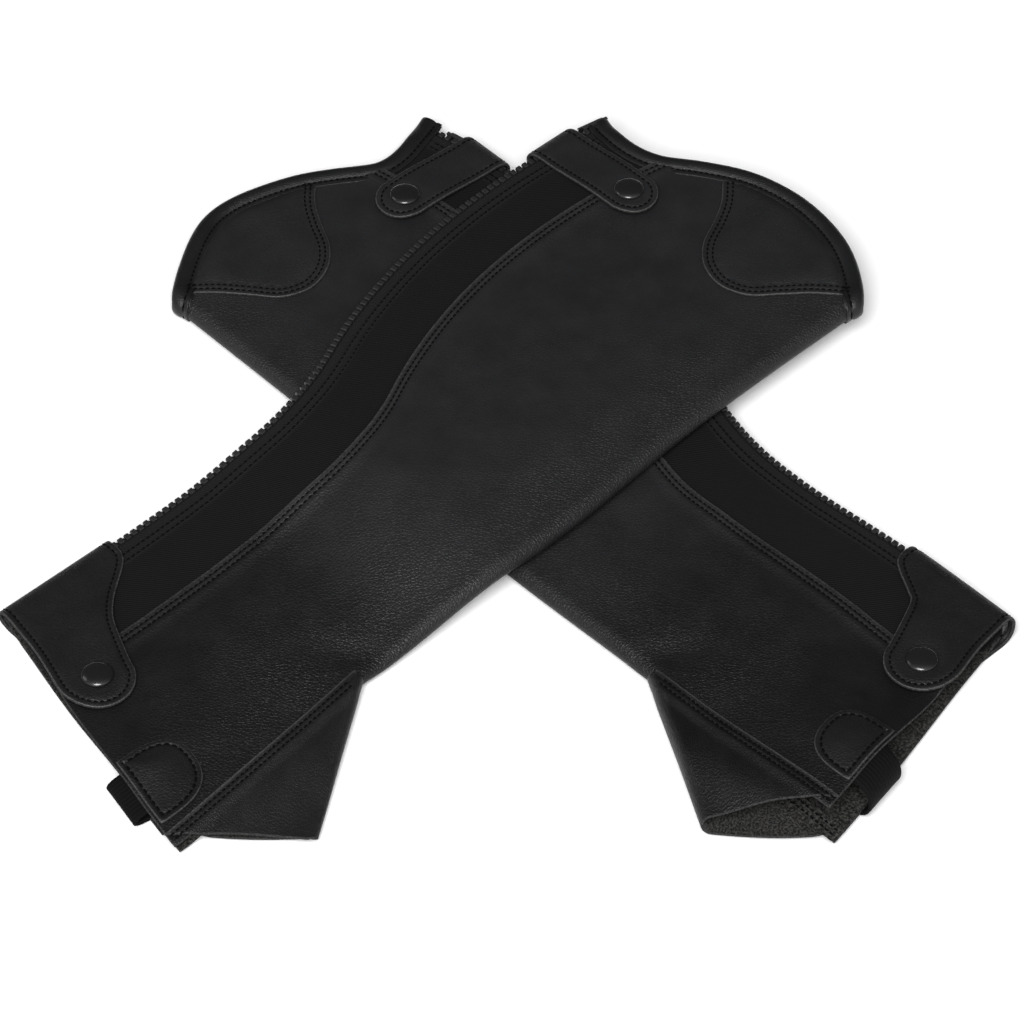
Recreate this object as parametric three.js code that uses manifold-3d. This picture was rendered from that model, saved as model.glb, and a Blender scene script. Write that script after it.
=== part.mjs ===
// A pair of zip-up half chaps (riding gaiters), laid flat and crossed, the right one on top of the left.
// Each chap is a folded leather tube that closes with a zip and has two snap-fastened flaps.
//
// Each chap is drawn in its own frame, in millimetres: u runs up the leg from ankle to knee, v runs across
// it from the shin fold to the zip, and z is height above the floor. The outer side of the leg faces up.
import * as THREE from 'three';
import { mergeVertices } from 'three/addons/utils/BufferGeometryUtils.js';
import Module from 'manifold-3d';

const wasm = await Module();
wasm.setup();
const { lerp, clamp, smoothstep, degToRad } = THREE.MathUtils;

// ---------------------------------------------------------------- driving dimensions
const GAP = 0.3;             // clearance between touching pieces
const LEATHER = 1.4;         // body leather
const PATCH = 1.2;           // knee and elastic patches
const FLAP = 1.5;            // strap and cuff, two layers sewn together
const INSIDE = 8.6;          // height left inside the flattened tube
const BACK_Z = 1.8;          // underside of the back leather, above the pieces sewn under it
const FRONT_Z = BACK_Z + LEATHER + INSIDE;
const TOP_Z = FRONT_Z + LEATHER;
const MID_Z = (BACK_Z + TOP_Z) / 2;

const SHIN_V = -32;          // outermost line of the shin fold
const FOLD_DEPTH = 4;        // how far the fold's round part reaches in v
const KNEE_END_V = 142;      // zip corner of the knee edge
const KNEE_ARC = { u: 138, v: 36, r: 90 };               // convex top edge
const KNEE_HOLLOW = { r: 43, turn: degToRad(42) };       // concave stretch next to the zip
const BOTTOM = { u: -236, v: -36, slope: 0.184 };        // straight bottom edge
const INSTEP_U = -124;       // where the shin fold ends and the foot flap begins
const FLAP_CORNER = { u: -196, v: -80 };                 // toe-side corner of the foot flap

const ANKLE_ZIP_V = 105.5;   // zip line along the ankle
const CALF = { u: 135, v: 147.5, r: 352 };               // highest point and radius of the calf curve
const HEEL_R = 150;          // concave stretch between ankle and calf
const ZIP_BOTTOM_U = -207;
const ZIP_TOP_U = 201;
const PANEL_WIDTH = { ankle: 45, calf: 40 };             // stretch panel, from zip to seam

const PANEL_INSET = 4;       // the leather and the stretch panel end this far inside the zip line
const TAPE = { thick: 0.6, width: 15.5, gap: 0.6 };
const TAPE_END = 1;          // the tape's outer edge lies this far inside the zip line
const TAPE_TRIM = { inner: 7, outer: 1 };   // how far the tape's top end stops short of the zip's
const TEETH = { pitch: 10, inner: 2.6, outer: 0.8, half: 2.7, bite: 0.9, play: 0.18 };
const SLIDER = { length: 14, plate: 1.2, height: 7, u: 191, lip: 0.6, lipThick: 0.5 };
const ARCH = { along: 3.5, half: 2.8, rise: 1, width: 3, wall: 1.4, eyeWidth: 6, play: 0.3, root: 0.2 };
const PULL = { bar: 1, length: 12.5, width: 5.6, window: 4.2, windowWidth: 3.8 };

const BINDING = { width: 3, thick: 2.4, gap: 0.6 };
const STRAP = { u: 168, width: 26, reach: 66, loop: 6.2, sewn: 36, snap: 52 };
const CUFF = { top: -149, bottom: -214, loop: 2.2, sewn: 48, lobe: 16.5 };
const KNEE_PATCH = {
  low: { u: 199, v: -26 }, high: { u: 205, v: 69 }, bulge: 47, roundness: 0.9, rim: 3,
};
const FOOT_FOLD = { top: 5, corner: 2.5, half: 2 };      // where the flap's fold starts, ends, and its depth
const FLAP_START = 8;        // a flap begins this far inside the zip line, where its loop ends
const LOOP_START = 6;        // and the loop begins to turn this far inside it
const SNAP_FLAT = 8;         // a flap is level from this far before its snap
const SNAP_LIFT = 3.1;       // height of a flap above the leather at its snap
const SNAP_HOLE_R = 1.9;
const BAND = { low: -21, high: 5, thick: 1.2, reach: 10, start: 4 };
const BAND_PATCH = { low: -27, high: 10, depth: 27, shoulder: 6 };

// Where a chap's foot end opens, where it sinks on the other one and where it climbs over it.
const MOUTH = { fold: [-84, -40], zip: [0, 46], toe: [150, 240] };
const SINK = { v: [20, 56], u: [-190, -135] };
const CLIMB = [-142, -38];

const SIDES = {
  left: { lift: 0, arch: 11, sink: 1.3, cuffSnap: [-199, 58] },
  right: { lift: 12, arch: 0, sink: 0, cuffSnap: [-209, 43] },
};

// ---------------------------------------------------------------- outline of a chap
const rise = CALF.v - ANKLE_ZIP_V;
const CALF_TURN = Math.acos(1 - rise / (CALF.r + HEEL_R));
const HEEL_U = CALF.u - (CALF.r + HEEL_R) * Math.sin(CALF_TURN);
const HEEL_END_U = HEEL_U + HEEL_R * Math.sin(CALF_TURN);

function zipTurn(u) {
  if (u <= HEEL_U) return 0;
  if (u <= HEEL_END_U) return Math.asin((u - HEEL_U) / HEEL_R);
  return Math.asin((CALF.u - u) / CALF.r);
}

function zipV(u) {
  if (u <= HEEL_U) return ANKLE_ZIP_V;
  if (u <= HEEL_END_U) return ANKLE_ZIP_V + HEEL_R * (1 - Math.cos(zipTurn(u)));
  return CALF.v - CALF.r * (1 - Math.cos(zipTurn(u)));
}

const strapSnap = [STRAP.u, zipV(STRAP.u) - STRAP.snap];

function seamV(u) {
  const share = (zipV(u) - ANKLE_ZIP_V) / rise;
  return zipV(u) - lerp(PANEL_WIDTH.ankle, PANEL_WIDTH.calf, share);
}

function kneeU(v) {
  const centre = KNEE_ARC.r + KNEE_HOLLOW.r;
  const hollowU = KNEE_ARC.u + centre * Math.cos(KNEE_HOLLOW.turn);
  const hollowV = KNEE_ARC.v + centre * Math.sin(KNEE_HOLLOW.turn);
  const joinV = KNEE_ARC.v + KNEE_ARC.r * Math.sin(KNEE_HOLLOW.turn);
  if (v < joinV) return KNEE_ARC.u + Math.sqrt(KNEE_ARC.r ** 2 - (v - KNEE_ARC.v) ** 2);
  return hollowU - Math.sqrt(KNEE_HOLLOW.r ** 2 - (v - hollowV) ** 2);
}

const bottomU = (v) => BOTTOM.u + BOTTOM.slope * (v - BOTTOM.v);

// How the chap lies: raised where it crosses the other one, its foot end arched open, its back on the floor.
function settle(side, u, v, z) {
  const front = clamp((z - BACK_Z) / (TOP_Z - BACK_Z), 0, 1);
  const mouth = smoothstep(v, ...MOUTH.fold) * (1 - smoothstep(v, ...MOUTH.zip));
  const arch = side.arch * front * mouth * smoothstep(-u, ...MOUTH.toe);
  const sink = side.sink * (1 - smoothstep(v, ...SINK.v)) * smoothstep(u, ...SINK.u);
  const lift = side.lift * smoothstep(u, ...CLIMB);
  return new THREE.Vector3(u, v, z + arch - sink + lift);
}

// ---------------------------------------------------------------- solids
// A merged, closed geometry without empty triangles, its faces pointing out.
function closed(geometry) {
  geometry.deleteAttribute('normal');
  geometry.deleteAttribute('uv');
  const merged = mergeVertices(geometry, 1e-4);
  const points = merged.attributes.position;
  const corners = [new THREE.Vector3(), new THREE.Vector3(), new THREE.Vector3()];
  const faces = [];
  let volume = 0;
  for (let i = 0; i < merged.index.count; i += 3) {
    const [a, b, c] = [0, 1, 2].map((k) => merged.index.getX(i + k));
    if (a === b || b === c || c === a) continue;
    [a, b, c].forEach((at, k) => corners[k].fromBufferAttribute(points, at));
    volume += corners[0].dot(corners[1].clone().cross(corners[2]));
    faces.push([a, b, c]);
  }
  const out = volume > 0 ? faces : faces.map(([a, b, c]) => [a, c, b]);
  merged.setIndex(out.flat());
  return merged;
}

// A box of nu by nw cells, each of whose corners goes to at(s, w, t), with s, w and t from 0 to 1.
function slab(nu, nw, at) {
  const geometry = new THREE.BoxGeometry(1, 1, 1, nu, nw, 1);
  const points = geometry.attributes.position;
  for (let i = 0; i < points.count; i += 1) {
    const p = at(points.getX(i) + 0.5, points.getY(i) + 0.5, points.getZ(i) + 0.5);
    points.setXYZ(i, p.x, p.y, p.z);
  }
  return closed(geometry);
}

function toSolid(geometry) {
  const vertProperties = new Float32Array(geometry.attributes.position.array);
  const triVerts = new Uint32Array(geometry.index.array);
  return new wasm.Manifold(new wasm.Mesh({ numProp: 3, vertProperties, triVerts }));
}

function fromSolid(solid) {
  const mesh = solid.getMesh();
  const result = new THREE.BufferGeometry();
  result.setAttribute('position', new THREE.BufferAttribute(new Float32Array(mesh.vertProperties), 3));
  result.setIndex(Array.from(mesh.triVerts));
  return closed(result);
}

function cut(geometry, ...tools) {
  return fromSolid(tools.reduce((rest, tool) => rest.subtract(toSolid(tool)), toSolid(geometry)));
}

function box(low, high) {
  const size = high.map((value, k) => value - low[k]);
  const centre = high.map((value, k) => (value + low[k]) / 2);
  return closed(new THREE.BoxGeometry(...size).translate(...centre));
}

// A hole tool that goes up from the middle of a chap, so that it leaves the back layer whole.
function hole(side, [u, v]) {
  const height = 12;
  const tube = new THREE.CylinderGeometry(SNAP_HOLE_R, SNAP_HOLE_R, height, 12).rotateX(Math.PI / 2);
  const middle = settle(side, u, v, MID_Z);
  return closed(tube.translate(u, v, middle.z + height / 2));
}

// A turned part standing on z = 0; profile is [radius, height] pairs that start and end on the axis.
function turned(profile, segments = 14) {
  const points = profile.map(([radius, height]) => new THREE.Vector2(radius, height));
  return closed(new THREE.LatheGeometry(points, segments).rotateX(Math.PI / 2));
}

// Centre line of a strip that turns around an edge: from the front, round to the back.
// Returns the position across the edge, the height and the outward normal at share w of the strip.
function wrap(w, { front, back, edge, start, low, high }) {
  const depth = edge - start;
  const lengths = [start - front, Math.PI * (high - low) / 2, start - back];
  const total = lengths[0] + lengths[1] + lengths[2];
  const along = w * total;
  if (along <= lengths[0]) return [front + along, high, 0, 1];
  if (along >= lengths[0] + lengths[1]) return [start - (along - lengths[0] - lengths[1]), low, 0, -1];
  const turn = Math.PI * (along - lengths[0]) / lengths[1];
  const square = (value) => Math.sign(value) * Math.abs(value) ** 0.8;
  const half = (high - low) / 2;
  const normal = new THREE.Vector2(Math.sin(turn) / depth, Math.cos(turn) / half).normalize();
  const [across, height] = [depth * square(Math.sin(turn)), half * square(Math.cos(turn))];
  return [start + across, low + half + height, normal.x, normal.y];
}

// ---------------------------------------------------------------- leather tube and stretch panel
// Solves for the point at share s from bottom edge to knee edge on the line v = line(u).
function onLine(s, line) {
  let u = lerp(bottomU(50), kneeU(50), s);
  for (let pass = 0; pass < 6; pass += 1) {
    u = lerp(bottomU(line(u)), kneeU(line(u)), s);
  }
  return [u, line(u)];
}

function leatherShell(side) {
  const frontMid = FRONT_Z + LEATHER / 2;
  const backMid = BACK_Z + LEATHER / 2;
  const foldV = SHIN_V + FOLD_DEPTH;
  const [frontCells, foldCells, backCells] = [6, 4, 10];
  const cells = frontCells + foldCells + backCells;
  const shell = slab(18, cells, (s, w, t) => {
    const part = w * cells;
    const turn = clamp((part - frontCells) / foldCells, 0, 1) * Math.PI;
    const toSeam = clamp(1 - part / frontCells, 0, 1);
    const toZip = clamp((part - frontCells - foldCells) / backCells, 0, 1) ** 0.6;
    const line = (u) => {
      if (toSeam > 0) return lerp(foldV, seamV(u) - GAP / 2, toSeam);
      if (toZip > 0) return lerp(foldV, zipV(u) - PANEL_INSET, toZip);
      return foldV - (FOLD_DEPTH - LEATHER / 2) * Math.sin(turn);
    };
    const [u, v] = onLine(s, line);
    const half = (frontMid - backMid) / 2;
    const z = backMid + half + half * Math.cos(turn);
    const off = (t - 0.5) * LEATHER;
    return settle(side, u, v - off * Math.sin(turn), z + off * Math.cos(turn));
  });
  const belowInstep = box([-300, SHIN_V - 10, -20], [INSTEP_U, foldV, 60]);
  return cut(shell, belowInstep, hole(side, strapSnap), hole(side, side.cuffSnap));
}

function stretchPanel(side) {
  return slab(18, 4, (s, w, t) => {
    const [u, v] = onLine(s, (at) => lerp(seamV(at) + GAP / 2, zipV(at) - PANEL_INSET, w));
    return settle(side, u, v, FRONT_Z + t * LEATHER);
  });
}

// ---------------------------------------------------------------- zip
const zipStraight = HEEL_U - ZIP_BOTTOM_U;
const zipHeel = HEEL_R * CALF_TURN;
const zipLength = zipStraight + zipHeel + CALF.r * (CALF_TURN - zipTurn(ZIP_TOP_U));

// The point at length s along the zip line, off millimetres outside it.
function zipAt(s, off) {
  let u = ZIP_BOTTOM_U + s;
  if (s > zipStraight) u = HEEL_U + HEEL_R * Math.sin(Math.min(s - zipStraight, zipHeel) / HEEL_R);
  if (s > zipStraight + zipHeel) {
    u = CALF.u - CALF.r * Math.sin(CALF_TURN - (s - zipStraight - zipHeel) / CALF.r);
  }
  const turn = zipTurn(u);
  return [u - off * Math.sin(turn), zipV(u) + off * Math.cos(turn)];
}

const STOP_LENGTH = 3;
const STOP_PLAY = 0.2;       // half the gap between the two top stops
const BOX_LENGTH = 9;
const chainStart = BOX_LENGTH + GAP;
const chainEnd = zipLength - STOP_LENGTH - GAP;

function zipTape(side, low) {
  return slab(26, 1, (s, w, t) => {
    const end = zipLength - lerp(TAPE_TRIM.inner, TAPE_TRIM.outer, w);
    const [u, v] = zipAt(s * end, lerp(-TAPE.width, -TAPE_END, w));
    return settle(side, u, v, low + t * TAPE.thick);
  });
}

// One row of teeth: a bead with a saw edge that meets the other row's at mid height.
function zipTeeth(side, up) {
  const cells = 2 * Math.round((chainEnd - chainStart) / TEETH.pitch);
  return slab(cells, 1, (s, w, t) => {
    const saw = (Math.round(s * cells) % 2 - 0.5) * 2 * TEETH.bite;
    const tip = MID_Z + saw + up * TEETH.play;
    const bead = MID_Z + up * TEETH.half;
    const [u, v] = zipAt(lerp(chainStart, chainEnd, s), lerp(-TEETH.inner, TEETH.outer, t));
    return settle(side, u, v, lerp(tip, bead, w));
  });
}

function zipBlock(side, from, to, low, high) {
  return slab(1, 1, (s, w, t) => {
    const [u, v] = zipAt(lerp(from, to, s), lerp(-TEETH.inner, TEETH.outer, w));
    return settle(side, u, v, lerp(low, high, t));
  });
}

// The slider stands outside the chain, in its own frame: x along the chain, y outwards, z up.
const pivotOut = TEETH.outer + GAP + SLIDER.plate + ARCH.play + PULL.bar / 2;

function zipSlider() {
  const inner = TEETH.outer + GAP;
  const outer = inner + SLIDER.plate;
  const half = SLIDER.height / 2;
  const long = SLIDER.length / 2;
  const lip = inner - SLIDER.lip;
  const web = half - SLIDER.lipThick;
  const channel = new THREE.Shape([
    new THREE.Vector2(lip, half), new THREE.Vector2(lip, web), new THREE.Vector2(inner, web),
    new THREE.Vector2(inner, -web), new THREE.Vector2(lip, -web), new THREE.Vector2(lip, -half),
    new THREE.Vector2(outer, -half), new THREE.Vector2(outer, half),
  ]);
  const body = new THREE.ExtrudeGeometry(channel, { depth: SLIDER.length, bevelEnabled: false });
  body.applyMatrix4(new THREE.Matrix4().makeBasis(
    new THREE.Vector3(0, 1, 0), new THREE.Vector3(0, 0, 1), new THREE.Vector3(1, 0, 0)));
  body.translate(-long, 0, 0);
  const barTop = pivotOut + PULL.bar / 2;
  const [archLow, archHigh] = [ARCH.along - ARCH.half, ARCH.along + ARCH.half];
  const arch = toSolid(box(
    [archLow, outer - ARCH.root, -ARCH.width / 2], [archHigh, barTop + ARCH.rise, ARCH.width / 2]));
  const eyeHalf = ARCH.eyeWidth / 2;
  const eye = toSolid(box(
    [archLow + ARCH.wall, outer, -eyeHalf], [archHigh - ARCH.wall, barTop + ARCH.play, eyeHalf]));
  return fromSolid(toSolid(closed(body)).add(arch).subtract(eye));
}

// The pull hangs on the slider's arch by a square ring and lies back along the chain.
function zipPull() {
  const half = PULL.bar / 2;
  const plate = toSolid(box([-PULL.length, -half, -PULL.width / 2], [half, half, PULL.width / 2]));
  const [through, windowHalf] = [3 * PULL.bar, PULL.windowWidth / 2];
  const window = toSolid(box([-PULL.window, -through, -windowHalf], [-half, through, windowHalf]));
  return fromSolid(plate.subtract(window));
}

// ---------------------------------------------------------------- edges, patches and foot flap
// The rolled binding along the knee edge, on the front, round the shin fold and along the back.
function kneeBinding(side) {
  const foldV = SHIN_V + FOLD_DEPTH;
  const half = (TOP_Z - BACK_Z - LEATHER) / 2;
  const [faceCells, foldCells] = [13, 4];
  const cells = 2 * faceCells + foldCells;
  return slab(1, cells, (s, w, t) => {
    const part = w * cells;
    const turn = clamp((part - faceCells) / foldCells, 0, 1) * Math.PI;
    let v = foldV - (FOLD_DEPTH - LEATHER / 2) * Math.sin(turn);
    if (part < faceCells) v = lerp(KNEE_END_V, foldV, part / faceCells);
    if (part > faceCells + foldCells) v = lerp(KNEE_END_V, foldV, (cells - part) / faceCells);
    const off = (t - 0.5) * BINDING.thick;
    const u = kneeU(v) + BINDING.gap + s * BINDING.width;
    return settle(side, u, v - off * Math.sin(turn), MID_Z + (half + off) * Math.cos(turn));
  });
}

// The knee patch fills the corner between the knee edge and a rounded border.
function kneePatch(side) {
  const { low, high, bulge, roundness, rim } = KNEE_PATCH;
  return slab(5, 8, (s, w, t) => {
    const v = lerp(low.v, high.v, w);
    const inner = lerp(low.u, high.u, w) - bulge * Math.sin(Math.PI * w) ** roundness;
    const u = lerp(Math.min(inner, kneeU(v) - rim), kneeU(v), s);
    return settle(side, u, v, TOP_Z + GAP + t * PATCH);
  });
}

// The foot flap carries on from the shin fold over the instep: two layers joined by their own fold.
function footFlap(side) {
  const seam = SHIN_V + FOLD_DEPTH - GAP;
  const top = INSTEP_U - 3;
  const half = (TOP_Z - BACK_Z - LEATHER) / 2;
  const layerCells = 4;
  const cells = 3 * layerCells;
  return slab(6, cells, (s, w, t) => {
    const part = w * cells;
    const turn = clamp(part / layerCells - 1, 0, 1) * Math.PI;
    const reach = clamp(Math.min(part, cells - part) / layerCells, 0, 1);
    const seamAt = new THREE.Vector2(lerp(top, bottomU(seam), s), seam);
    const foldV = lerp(seam - FOOT_FOLD.top, FLAP_CORNER.v + FOOT_FOLD.corner, s);
    const foldAt = new THREE.Vector2(lerp(top, FLAP_CORNER.u, s), foldV);
    const across = foldAt.clone().sub(seamAt).normalize();
    const off = (t - 0.5) * LEATHER;
    const p = seamAt.lerp(foldAt, reach).addScaledVector(across, (FOOT_FOLD.half + off) * Math.sin(turn));
    return settle(side, p.x, p.y, MID_Z + (half + off) * Math.cos(turn));
  });
}

// A D-shaped patch along the bottom edge, which holds one end of the under-foot band.
function bandPatch(side, low) {
  return slab(3, 8, (s, w, t) => {
    const v = lerp(BAND_PATCH.low, BAND_PATCH.high, w);
    const round = Math.sqrt(1 - (2 * w - 1) ** 2);
    const depth = BAND_PATCH.shoulder + (BAND_PATCH.depth - BAND_PATCH.shoulder) * round;
    return settle(side, bottomU(v) + s * depth, v, low + t * PATCH);
  });
}

// The elastic band leaves the front patch, loops out under the foot and ends at the back patch.
function underFootBand(side) {
  return slab(3, 12, (s, w, t) => {
    const v = lerp(BAND.low, BAND.high, s);
    const [out, z, nOut, nZ] = wrap(w, {
      front: GAP, back: GAP, edge: BAND.reach, start: BAND.start,
      low: BAND.thick / 2, high: TOP_Z + GAP + BAND.thick / 2,
    });
    const off = (t - 0.5) * BAND.thick;
    return settle(side, bottomU(v) - out - off * nOut, v, z + off * nZ);
  });
}

// ---------------------------------------------------------------- snap-fastened flaps
// The height of a flap's underside above the leather: it rises from its loop to its snap.
function flapRise(v, zip, snapV) {
  const kink = snapV + SNAP_FLAT;
  const start = zip - FLAP_START;
  return lerp(GAP, SNAP_LIFT, clamp((start - v) / (start - kink), 0, 1));
}

// The distances across a flap at which it is divided, with one line exactly where it levels out.
function flapStation(w, start, kink, tip) {
  return w < 0.5 ? lerp(start, kink, w * 2) : lerp(kink, tip, w * 2 - 1);
}

// Half the width of a flap this far from the tip of its round end, which has a short straight tip.
const TIP_HALF = 2;
const roundEnd = (radius, left) => Math.sqrt(Math.max(radius ** 2 - (radius - left) ** 2, TIP_HALF ** 2));

function strapFlap(side) {
  const zip = zipV(STRAP.u);
  const tip = zip - STRAP.reach;
  const radius = STRAP.width / 2;
  const snapV = strapSnap[1];
  const flap = slab(2, 14, (s, w, t) => {
    const v = flapStation(w, zip - FLAP_START, snapV + SNAP_FLAT, tip);
    const half = v < tip + radius ? Math.min(roundEnd(radius, v - tip), radius) : radius;
    const z = TOP_Z + flapRise(v, zip, snapV) + t * FLAP;
    return settle(side, STRAP.u + (s * 2 - 1) * half, v, z);
  });
  return cut(flap, hole(side, strapSnap));
}

function cuffFlap(side) {
  const [snapU, snapV] = side.cuffSnap;
  const tip = snapV - CUFF.lobe;
  const start = ANKLE_ZIP_V - FLAP_START;
  const flap = slab(2, 16, (s, w, t) => {
    const v = flapStation(w, start, snapV + SNAP_FLAT, tip);
    const share = clamp((v - snapV) / (start - snapV), 0, 1);
    const ease = 0.8 * share + 0.2 * smoothstep(share, 0.4, 0.9);
    const half = v < snapV ? roundEnd(CUFF.lobe, v - tip) : CUFF.lobe;
    const low = lerp(snapU - half, CUFF.bottom, share);
    const high = lerp(snapU + half, CUFF.top, ease);
    return settle(side, lerp(low, high, s), v, TOP_Z + flapRise(v, ANKLE_ZIP_V, snapV) + t * FLAP);
  });
  return cut(flap, hole(side, side.cuffSnap));
}

// The sewn end of a flap: flat under the back leather, then round the zip edge to the flap.
function flapLoop(side, uLow, uHigh, zip, loop, sewn) {
  const depth = loop + FLAP / 2;
  return slab(2, 18, (s, w, t) => {
    const [v, z, nV, nZ] = wrap(w, {
      front: zip - FLAP_START + GAP, back: zip - sewn, edge: zip + depth, start: zip - LOOP_START,
      low: FLAP / 2, high: TOP_Z + GAP + FLAP / 2,
    });
    const off = (t - 0.5) * FLAP;
    return settle(side, lerp(uLow, uHigh, s), v + off * nV, z + off * nZ);
  });
}

// Heights of the four snap pieces are counted from the top of the leather that the snap sits on.
const flapTop = SNAP_LIFT + FLAP;
const SNAP_PROFILES = {
  cap: [[0, SNAP_LIFT], [1.6, SNAP_LIFT], [1.6, flapTop + GAP], [6.6, flapTop + GAP], [7.2, flapTop + 0.9],
    [5.4, flapTop + 2], [2.8, flapTop + 2.6], [0, flapTop + 2.8]],
  socket: [[3.2, 1.2], [5.2, 1.2], [5.2, SNAP_LIFT - GAP], [3.2, SNAP_LIFT - GAP], [3.2, 1.2]],
  stud: [[0, 0.7], [1.9, 0.7], [1.9, GAP], [5, GAP], [5, 0.8], [2.5, 0.9], [2.9, 1.8], [2.2, 2.4], [0, 2.5]],
  post: [[0, -0.8 - LEATHER], [5.4, -0.8 - LEATHER], [5.4, -GAP - LEATHER], [1.6, -GAP - LEATHER],
    [1.6, 0.4], [0, 0.4]],
};

// ---------------------------------------------------------------- materials
const finish = (color, roughness, metalness = 0) => ({ color, roughness, metalness });
const FINISHES = {
  leather: finish(0x1d1e20, 0.55),
  edge: finish(0x232426, 0.6),
  stretch: finish(0x17181a, 0.9),
  webbing: finish(0x141416, 0.9),
  plastic: finish(0x101012, 0.35),
  enamel: finish(0x0b0b0d, 0.2, 0.3),
  steel: finish(0x8d9094, 0.3, 1),
};

// ---------------------------------------------------------------- assembly
function chap(name, side) {
  const group = new THREE.Group();
  const add = (part, geometry, look, position = [0, 0, 0], turn = 0) => {
    const mesh = new THREE.Mesh(geometry, new THREE.MeshStandardMaterial(FINISHES[look]));
    mesh.name = `${name}_${part}`;
    mesh.position.set(...position);
    mesh.rotation.z = turn;
    group.add(mesh);
  };

  add('leather_shell', leatherShell(side), 'leather');
  add('stretch_panel', stretchPanel(side), 'stretch');
  add('knee_binding', kneeBinding(side), 'edge');
  add('knee_patch', kneePatch(side), 'leather');
  add('foot_flap', footFlap(side), 'leather');
  add('band_patch_front', bandPatch(side, TOP_Z + GAP), 'leather');
  add('band_patch_back', bandPatch(side, 0), 'leather');
  add('under_foot_band', underFootBand(side), 'webbing');

  add('zip_tape_front', zipTape(side, FRONT_Z - TAPE.gap - TAPE.thick), 'webbing');
  add('zip_tape_back', zipTape(side, BACK_Z + LEATHER + TAPE.gap), 'webbing');
  add('zip_teeth_front', zipTeeth(side, 1), 'plastic');
  add('zip_teeth_back', zipTeeth(side, -1), 'plastic');
  const low = MID_Z - TEETH.half;
  const high = MID_Z + TEETH.half;
  add('zip_box', zipBlock(side, 0, BOX_LENGTH, low, high), 'plastic');
  const [stopLow, stopHigh] = [MID_Z - STOP_PLAY, MID_Z + STOP_PLAY];
  add('zip_stop_front', zipBlock(side, chainEnd + GAP, zipLength, stopHigh, high), 'plastic');
  add('zip_stop_back', zipBlock(side, chainEnd + GAP, zipLength, low, stopLow), 'plastic');
  const turn = zipTurn(SLIDER.u);
  const onZip = settle(side, SLIDER.u, zipV(SLIDER.u), MID_Z);
  const [cos, sin] = [Math.cos(turn), Math.sin(turn)];
  const pivot = [
    onZip.x + ARCH.along * cos - pivotOut * sin, onZip.y + ARCH.along * sin + pivotOut * cos, onZip.z,
  ];
  add('zip_slider', zipSlider(), 'enamel', onZip.toArray(), turn);
  add('zip_pull', zipPull(), 'enamel', pivot, turn);

  const [strapLow, strapHigh] = [STRAP.u - STRAP.width / 2, STRAP.u + STRAP.width / 2];
  const strapLoop = flapLoop(side, strapLow, strapHigh, zipV(STRAP.u), STRAP.loop, STRAP.sewn);
  add('strap_loop', strapLoop, 'leather');
  add('strap_flap', strapFlap(side), 'leather');
  add('cuff_loop', flapLoop(side, CUFF.bottom, CUFF.top, ANKLE_ZIP_V, CUFF.loop, CUFF.sewn), 'leather');
  add('cuff_flap', cuffFlap(side), 'leather');

  const snaps = { strap: strapSnap, cuff: side.cuffSnap };
  for (const [flap, [u, v]] of Object.entries(snaps)) {
    for (const [piece, profile] of Object.entries(SNAP_PROFILES)) {
      const look = piece === 'cap' ? 'enamel' : 'steel';
      add(`${flap}_snap_${piece}`, turned(profile), look, settle(side, u, v, TOP_Z).toArray());
    }
  }
  return group;
}

// The chaps cross at right angles: the left one's knee points along -X, the right one's along +Y.
const pair = new THREE.Group();
const left = chap('left', SIDES.left);
left.scale.x = -1;
const right = chap('right', SIDES.right);
right.rotation.z = Math.PI / 2;
pair.add(left, right);

// The origin is the middle of the pair's footprint, on the floor.
const bounds = new THREE.Box3().setFromObject(pair, true);
pair.position.set(-(bounds.min.x + bounds.max.x) / 2, -(bounds.min.y + bounds.max.y) / 2, -bounds.min.z);

export default pair;
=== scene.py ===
import math

import bpy
import numpy as np
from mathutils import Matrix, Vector
from mathutils.geometry import delaunay_2d_cdt


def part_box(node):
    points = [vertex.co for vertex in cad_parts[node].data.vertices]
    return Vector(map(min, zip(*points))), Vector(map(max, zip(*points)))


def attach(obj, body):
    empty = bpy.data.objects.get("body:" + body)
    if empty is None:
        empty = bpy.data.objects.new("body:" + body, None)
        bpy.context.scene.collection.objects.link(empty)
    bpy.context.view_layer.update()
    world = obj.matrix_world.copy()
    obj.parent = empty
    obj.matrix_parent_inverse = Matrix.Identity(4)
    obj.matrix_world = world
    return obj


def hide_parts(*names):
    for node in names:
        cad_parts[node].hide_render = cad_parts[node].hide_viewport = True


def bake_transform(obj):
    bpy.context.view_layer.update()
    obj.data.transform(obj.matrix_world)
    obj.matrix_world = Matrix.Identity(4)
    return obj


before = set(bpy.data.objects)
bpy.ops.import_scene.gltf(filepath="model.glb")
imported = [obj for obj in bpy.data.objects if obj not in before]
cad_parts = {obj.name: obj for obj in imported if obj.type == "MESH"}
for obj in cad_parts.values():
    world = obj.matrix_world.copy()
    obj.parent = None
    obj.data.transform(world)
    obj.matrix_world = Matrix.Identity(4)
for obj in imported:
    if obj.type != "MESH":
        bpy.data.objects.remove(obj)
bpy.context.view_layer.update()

MM = 0.001

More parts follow.
